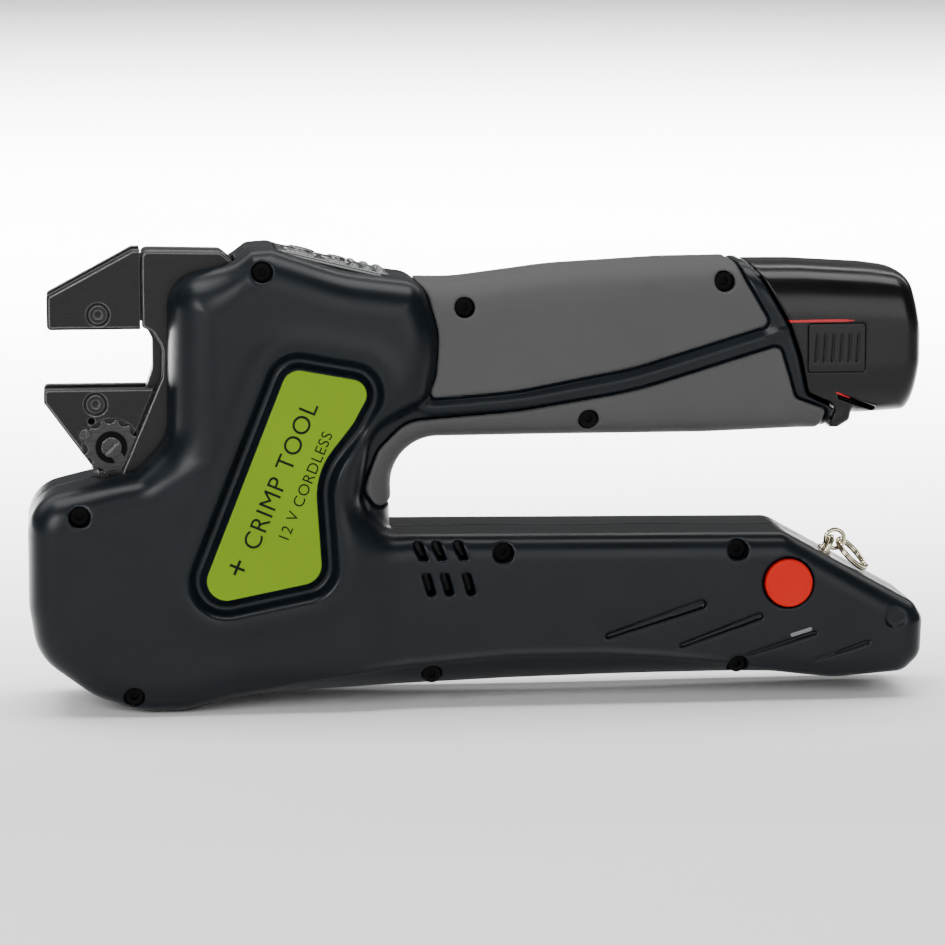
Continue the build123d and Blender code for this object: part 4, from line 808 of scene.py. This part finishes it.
finish_piece(wire("Lanyard_Eye", arch, 0.9, False, 18), "tool", NICKEL, ("lanyard_eye",))
for side, tag in SIDES:
    base = FOOT + EYE_HALF * side * ACROSS
    nut = [base + rise * OUT for rise in (0.0, 0.25, 0.95, 1.2)]
    finish_piece(wire("Eye_Nut_" + tag, nut, 1.7, False, 6), "tool", NICKEL)
turns = [2 * math.pi * step / 64 for step in range(64)]
link_middle = FOOT + 1.3 * ALONG + EYE_TOP * OUT
link_path = [link_middle + LINK_R * np.array([math.cos(t), 0, math.sin(t)]) for t in turns]
finish_piece(wire("Swivel_Link", link_path, 0.7, True), "link", NICKEL, ("swivel_link",))
ring_along = ALONG * math.cos(-DIP) + OUT * math.sin(-DIP)
ring_normal = -ALONG * math.sin(-DIP) + OUT * math.cos(-DIP)
ring_across = ACROSS * math.cos(ROLL) + ring_normal * math.sin(ROLL)
ring_normal = ring_normal * math.cos(ROLL) - ACROSS * math.sin(ROLL)
ring_middle = FOOT + 2.5 * ALONG + EYE_TOP * OUT + RING_R * ring_along
coil = []
for step in range(181):
    turn = 2 * math.pi * step / 90
    rise = 0.62 * (2 * step / 180 - 1)
    spoke = math.cos(turn) * ring_along + math.sin(turn) * ring_across
    coil.append(ring_middle + RING_R * spoke + rise * ring_normal)
finish_piece(wire("Split_Ring", coil, 0.68, False), "ring", NICKEL, ("key_ring",))

# ---- small window in the arm --------------------------------------------------------------------------------
for side, tag in SIDES:
    g = Grid((100, -25.5, 19), (112, -20, 28), 0.22)
    window = blend_max(bar(g, (103.0, 22.6), (109.0, 24.4), 0.75), lower_shell(g) - 0.08, 0.25)
    window = np.maximum(window, -(lower_shell(g) + 0.7))
    window_obj = new_object("Arm_Window_" + tag, *side_surface(window, g, side))
    finish_piece(window_obj, "tool", GREY_BAR)

# ---- floor, light and camera --------------------------------------------------------------------------------
floor_mesh = bpy.data.meshes.new("Floor")
floor_mesh.from_pydata([(-9, -9, 0), (9, -9, 0), (9, 60, 0), (-9, 60, 0)], [], [(0, 1, 2, 3)])
floor = bpy.data.objects.new("Floor", floor_mesh)
bpy.context.scene.collection.objects.link(floor)
PALE_FLOOR = plastic("pale_floor", (0.86, 0.86, 0.86), 0.8, spread=0.01, scale=3, bump=0.0, specular=0.1)
floor.data.materials.append(PALE_FLOOR)


def softbox(name, place, target, size, power):
    lamp = bpy.data.lights.new(name, "AREA")
    lamp.shape, lamp.size, lamp.size_y, lamp.energy = "RECTANGLE", size[0], size[1], power
    obj = bpy.data.objects.new(name, lamp)
    obj.location = place
    obj.rotation_euler = (Vector(target) - Vector(place)).to_track_quat("-Z", "Y").to_euler()
    bpy.context.scene.collection.objects.link(obj)


softbox("Key", (-0.8, -1.1, 0.6), (0, 0, 0.07), (0.5, 0.7), 16)
softbox("Front", (0.5, -1.9, 0.5), (0, 0, 0.07), (1.4, 1.0), 16)
softbox("Overhead", (0, 0.1, 2.4), (0, 0.4, 0), (2.6, 1.6), 90)
softbox("Backdrop", (0, 1.2, 2.5), (0, 6, 0), (6, 2), 2600)
softbox("Near_Backdrop", (0, 1.4, 1.2), (0, 2.0, 0), (3.6, 1.0), 60)
world = bpy.data.worlds.new("Studio")
world.use_nodes = True
world.node_tree.nodes["Background"].inputs["Color"].default_value = (1, 1, 1, 1)
world.node_tree.nodes["Background"].inputs["Strength"].default_value = 0.16
bpy.context.scene.world = world

azimuth, elevation, distance = math.radians(-6), math.radians(8.5), 1.3
aim = Vector((-0.0012, 0, 0.0751))
level = math.cos(elevation)
back = Vector((math.sin(azimuth) * level, -math.cos(azimuth) * level, math.sin(elevation)))
lens = bpy.data.cameras.new("Camera")
lens.lens = 148.6
camera = bpy.data.objects.new("Camera", lens)
camera.location = aim + distance * back
camera.rotation_euler = back.to_track_quat("Z", "Y").to_euler()
bpy.context.scene.collection.objects.link(camera)
bpy.context.scene.camera = camera
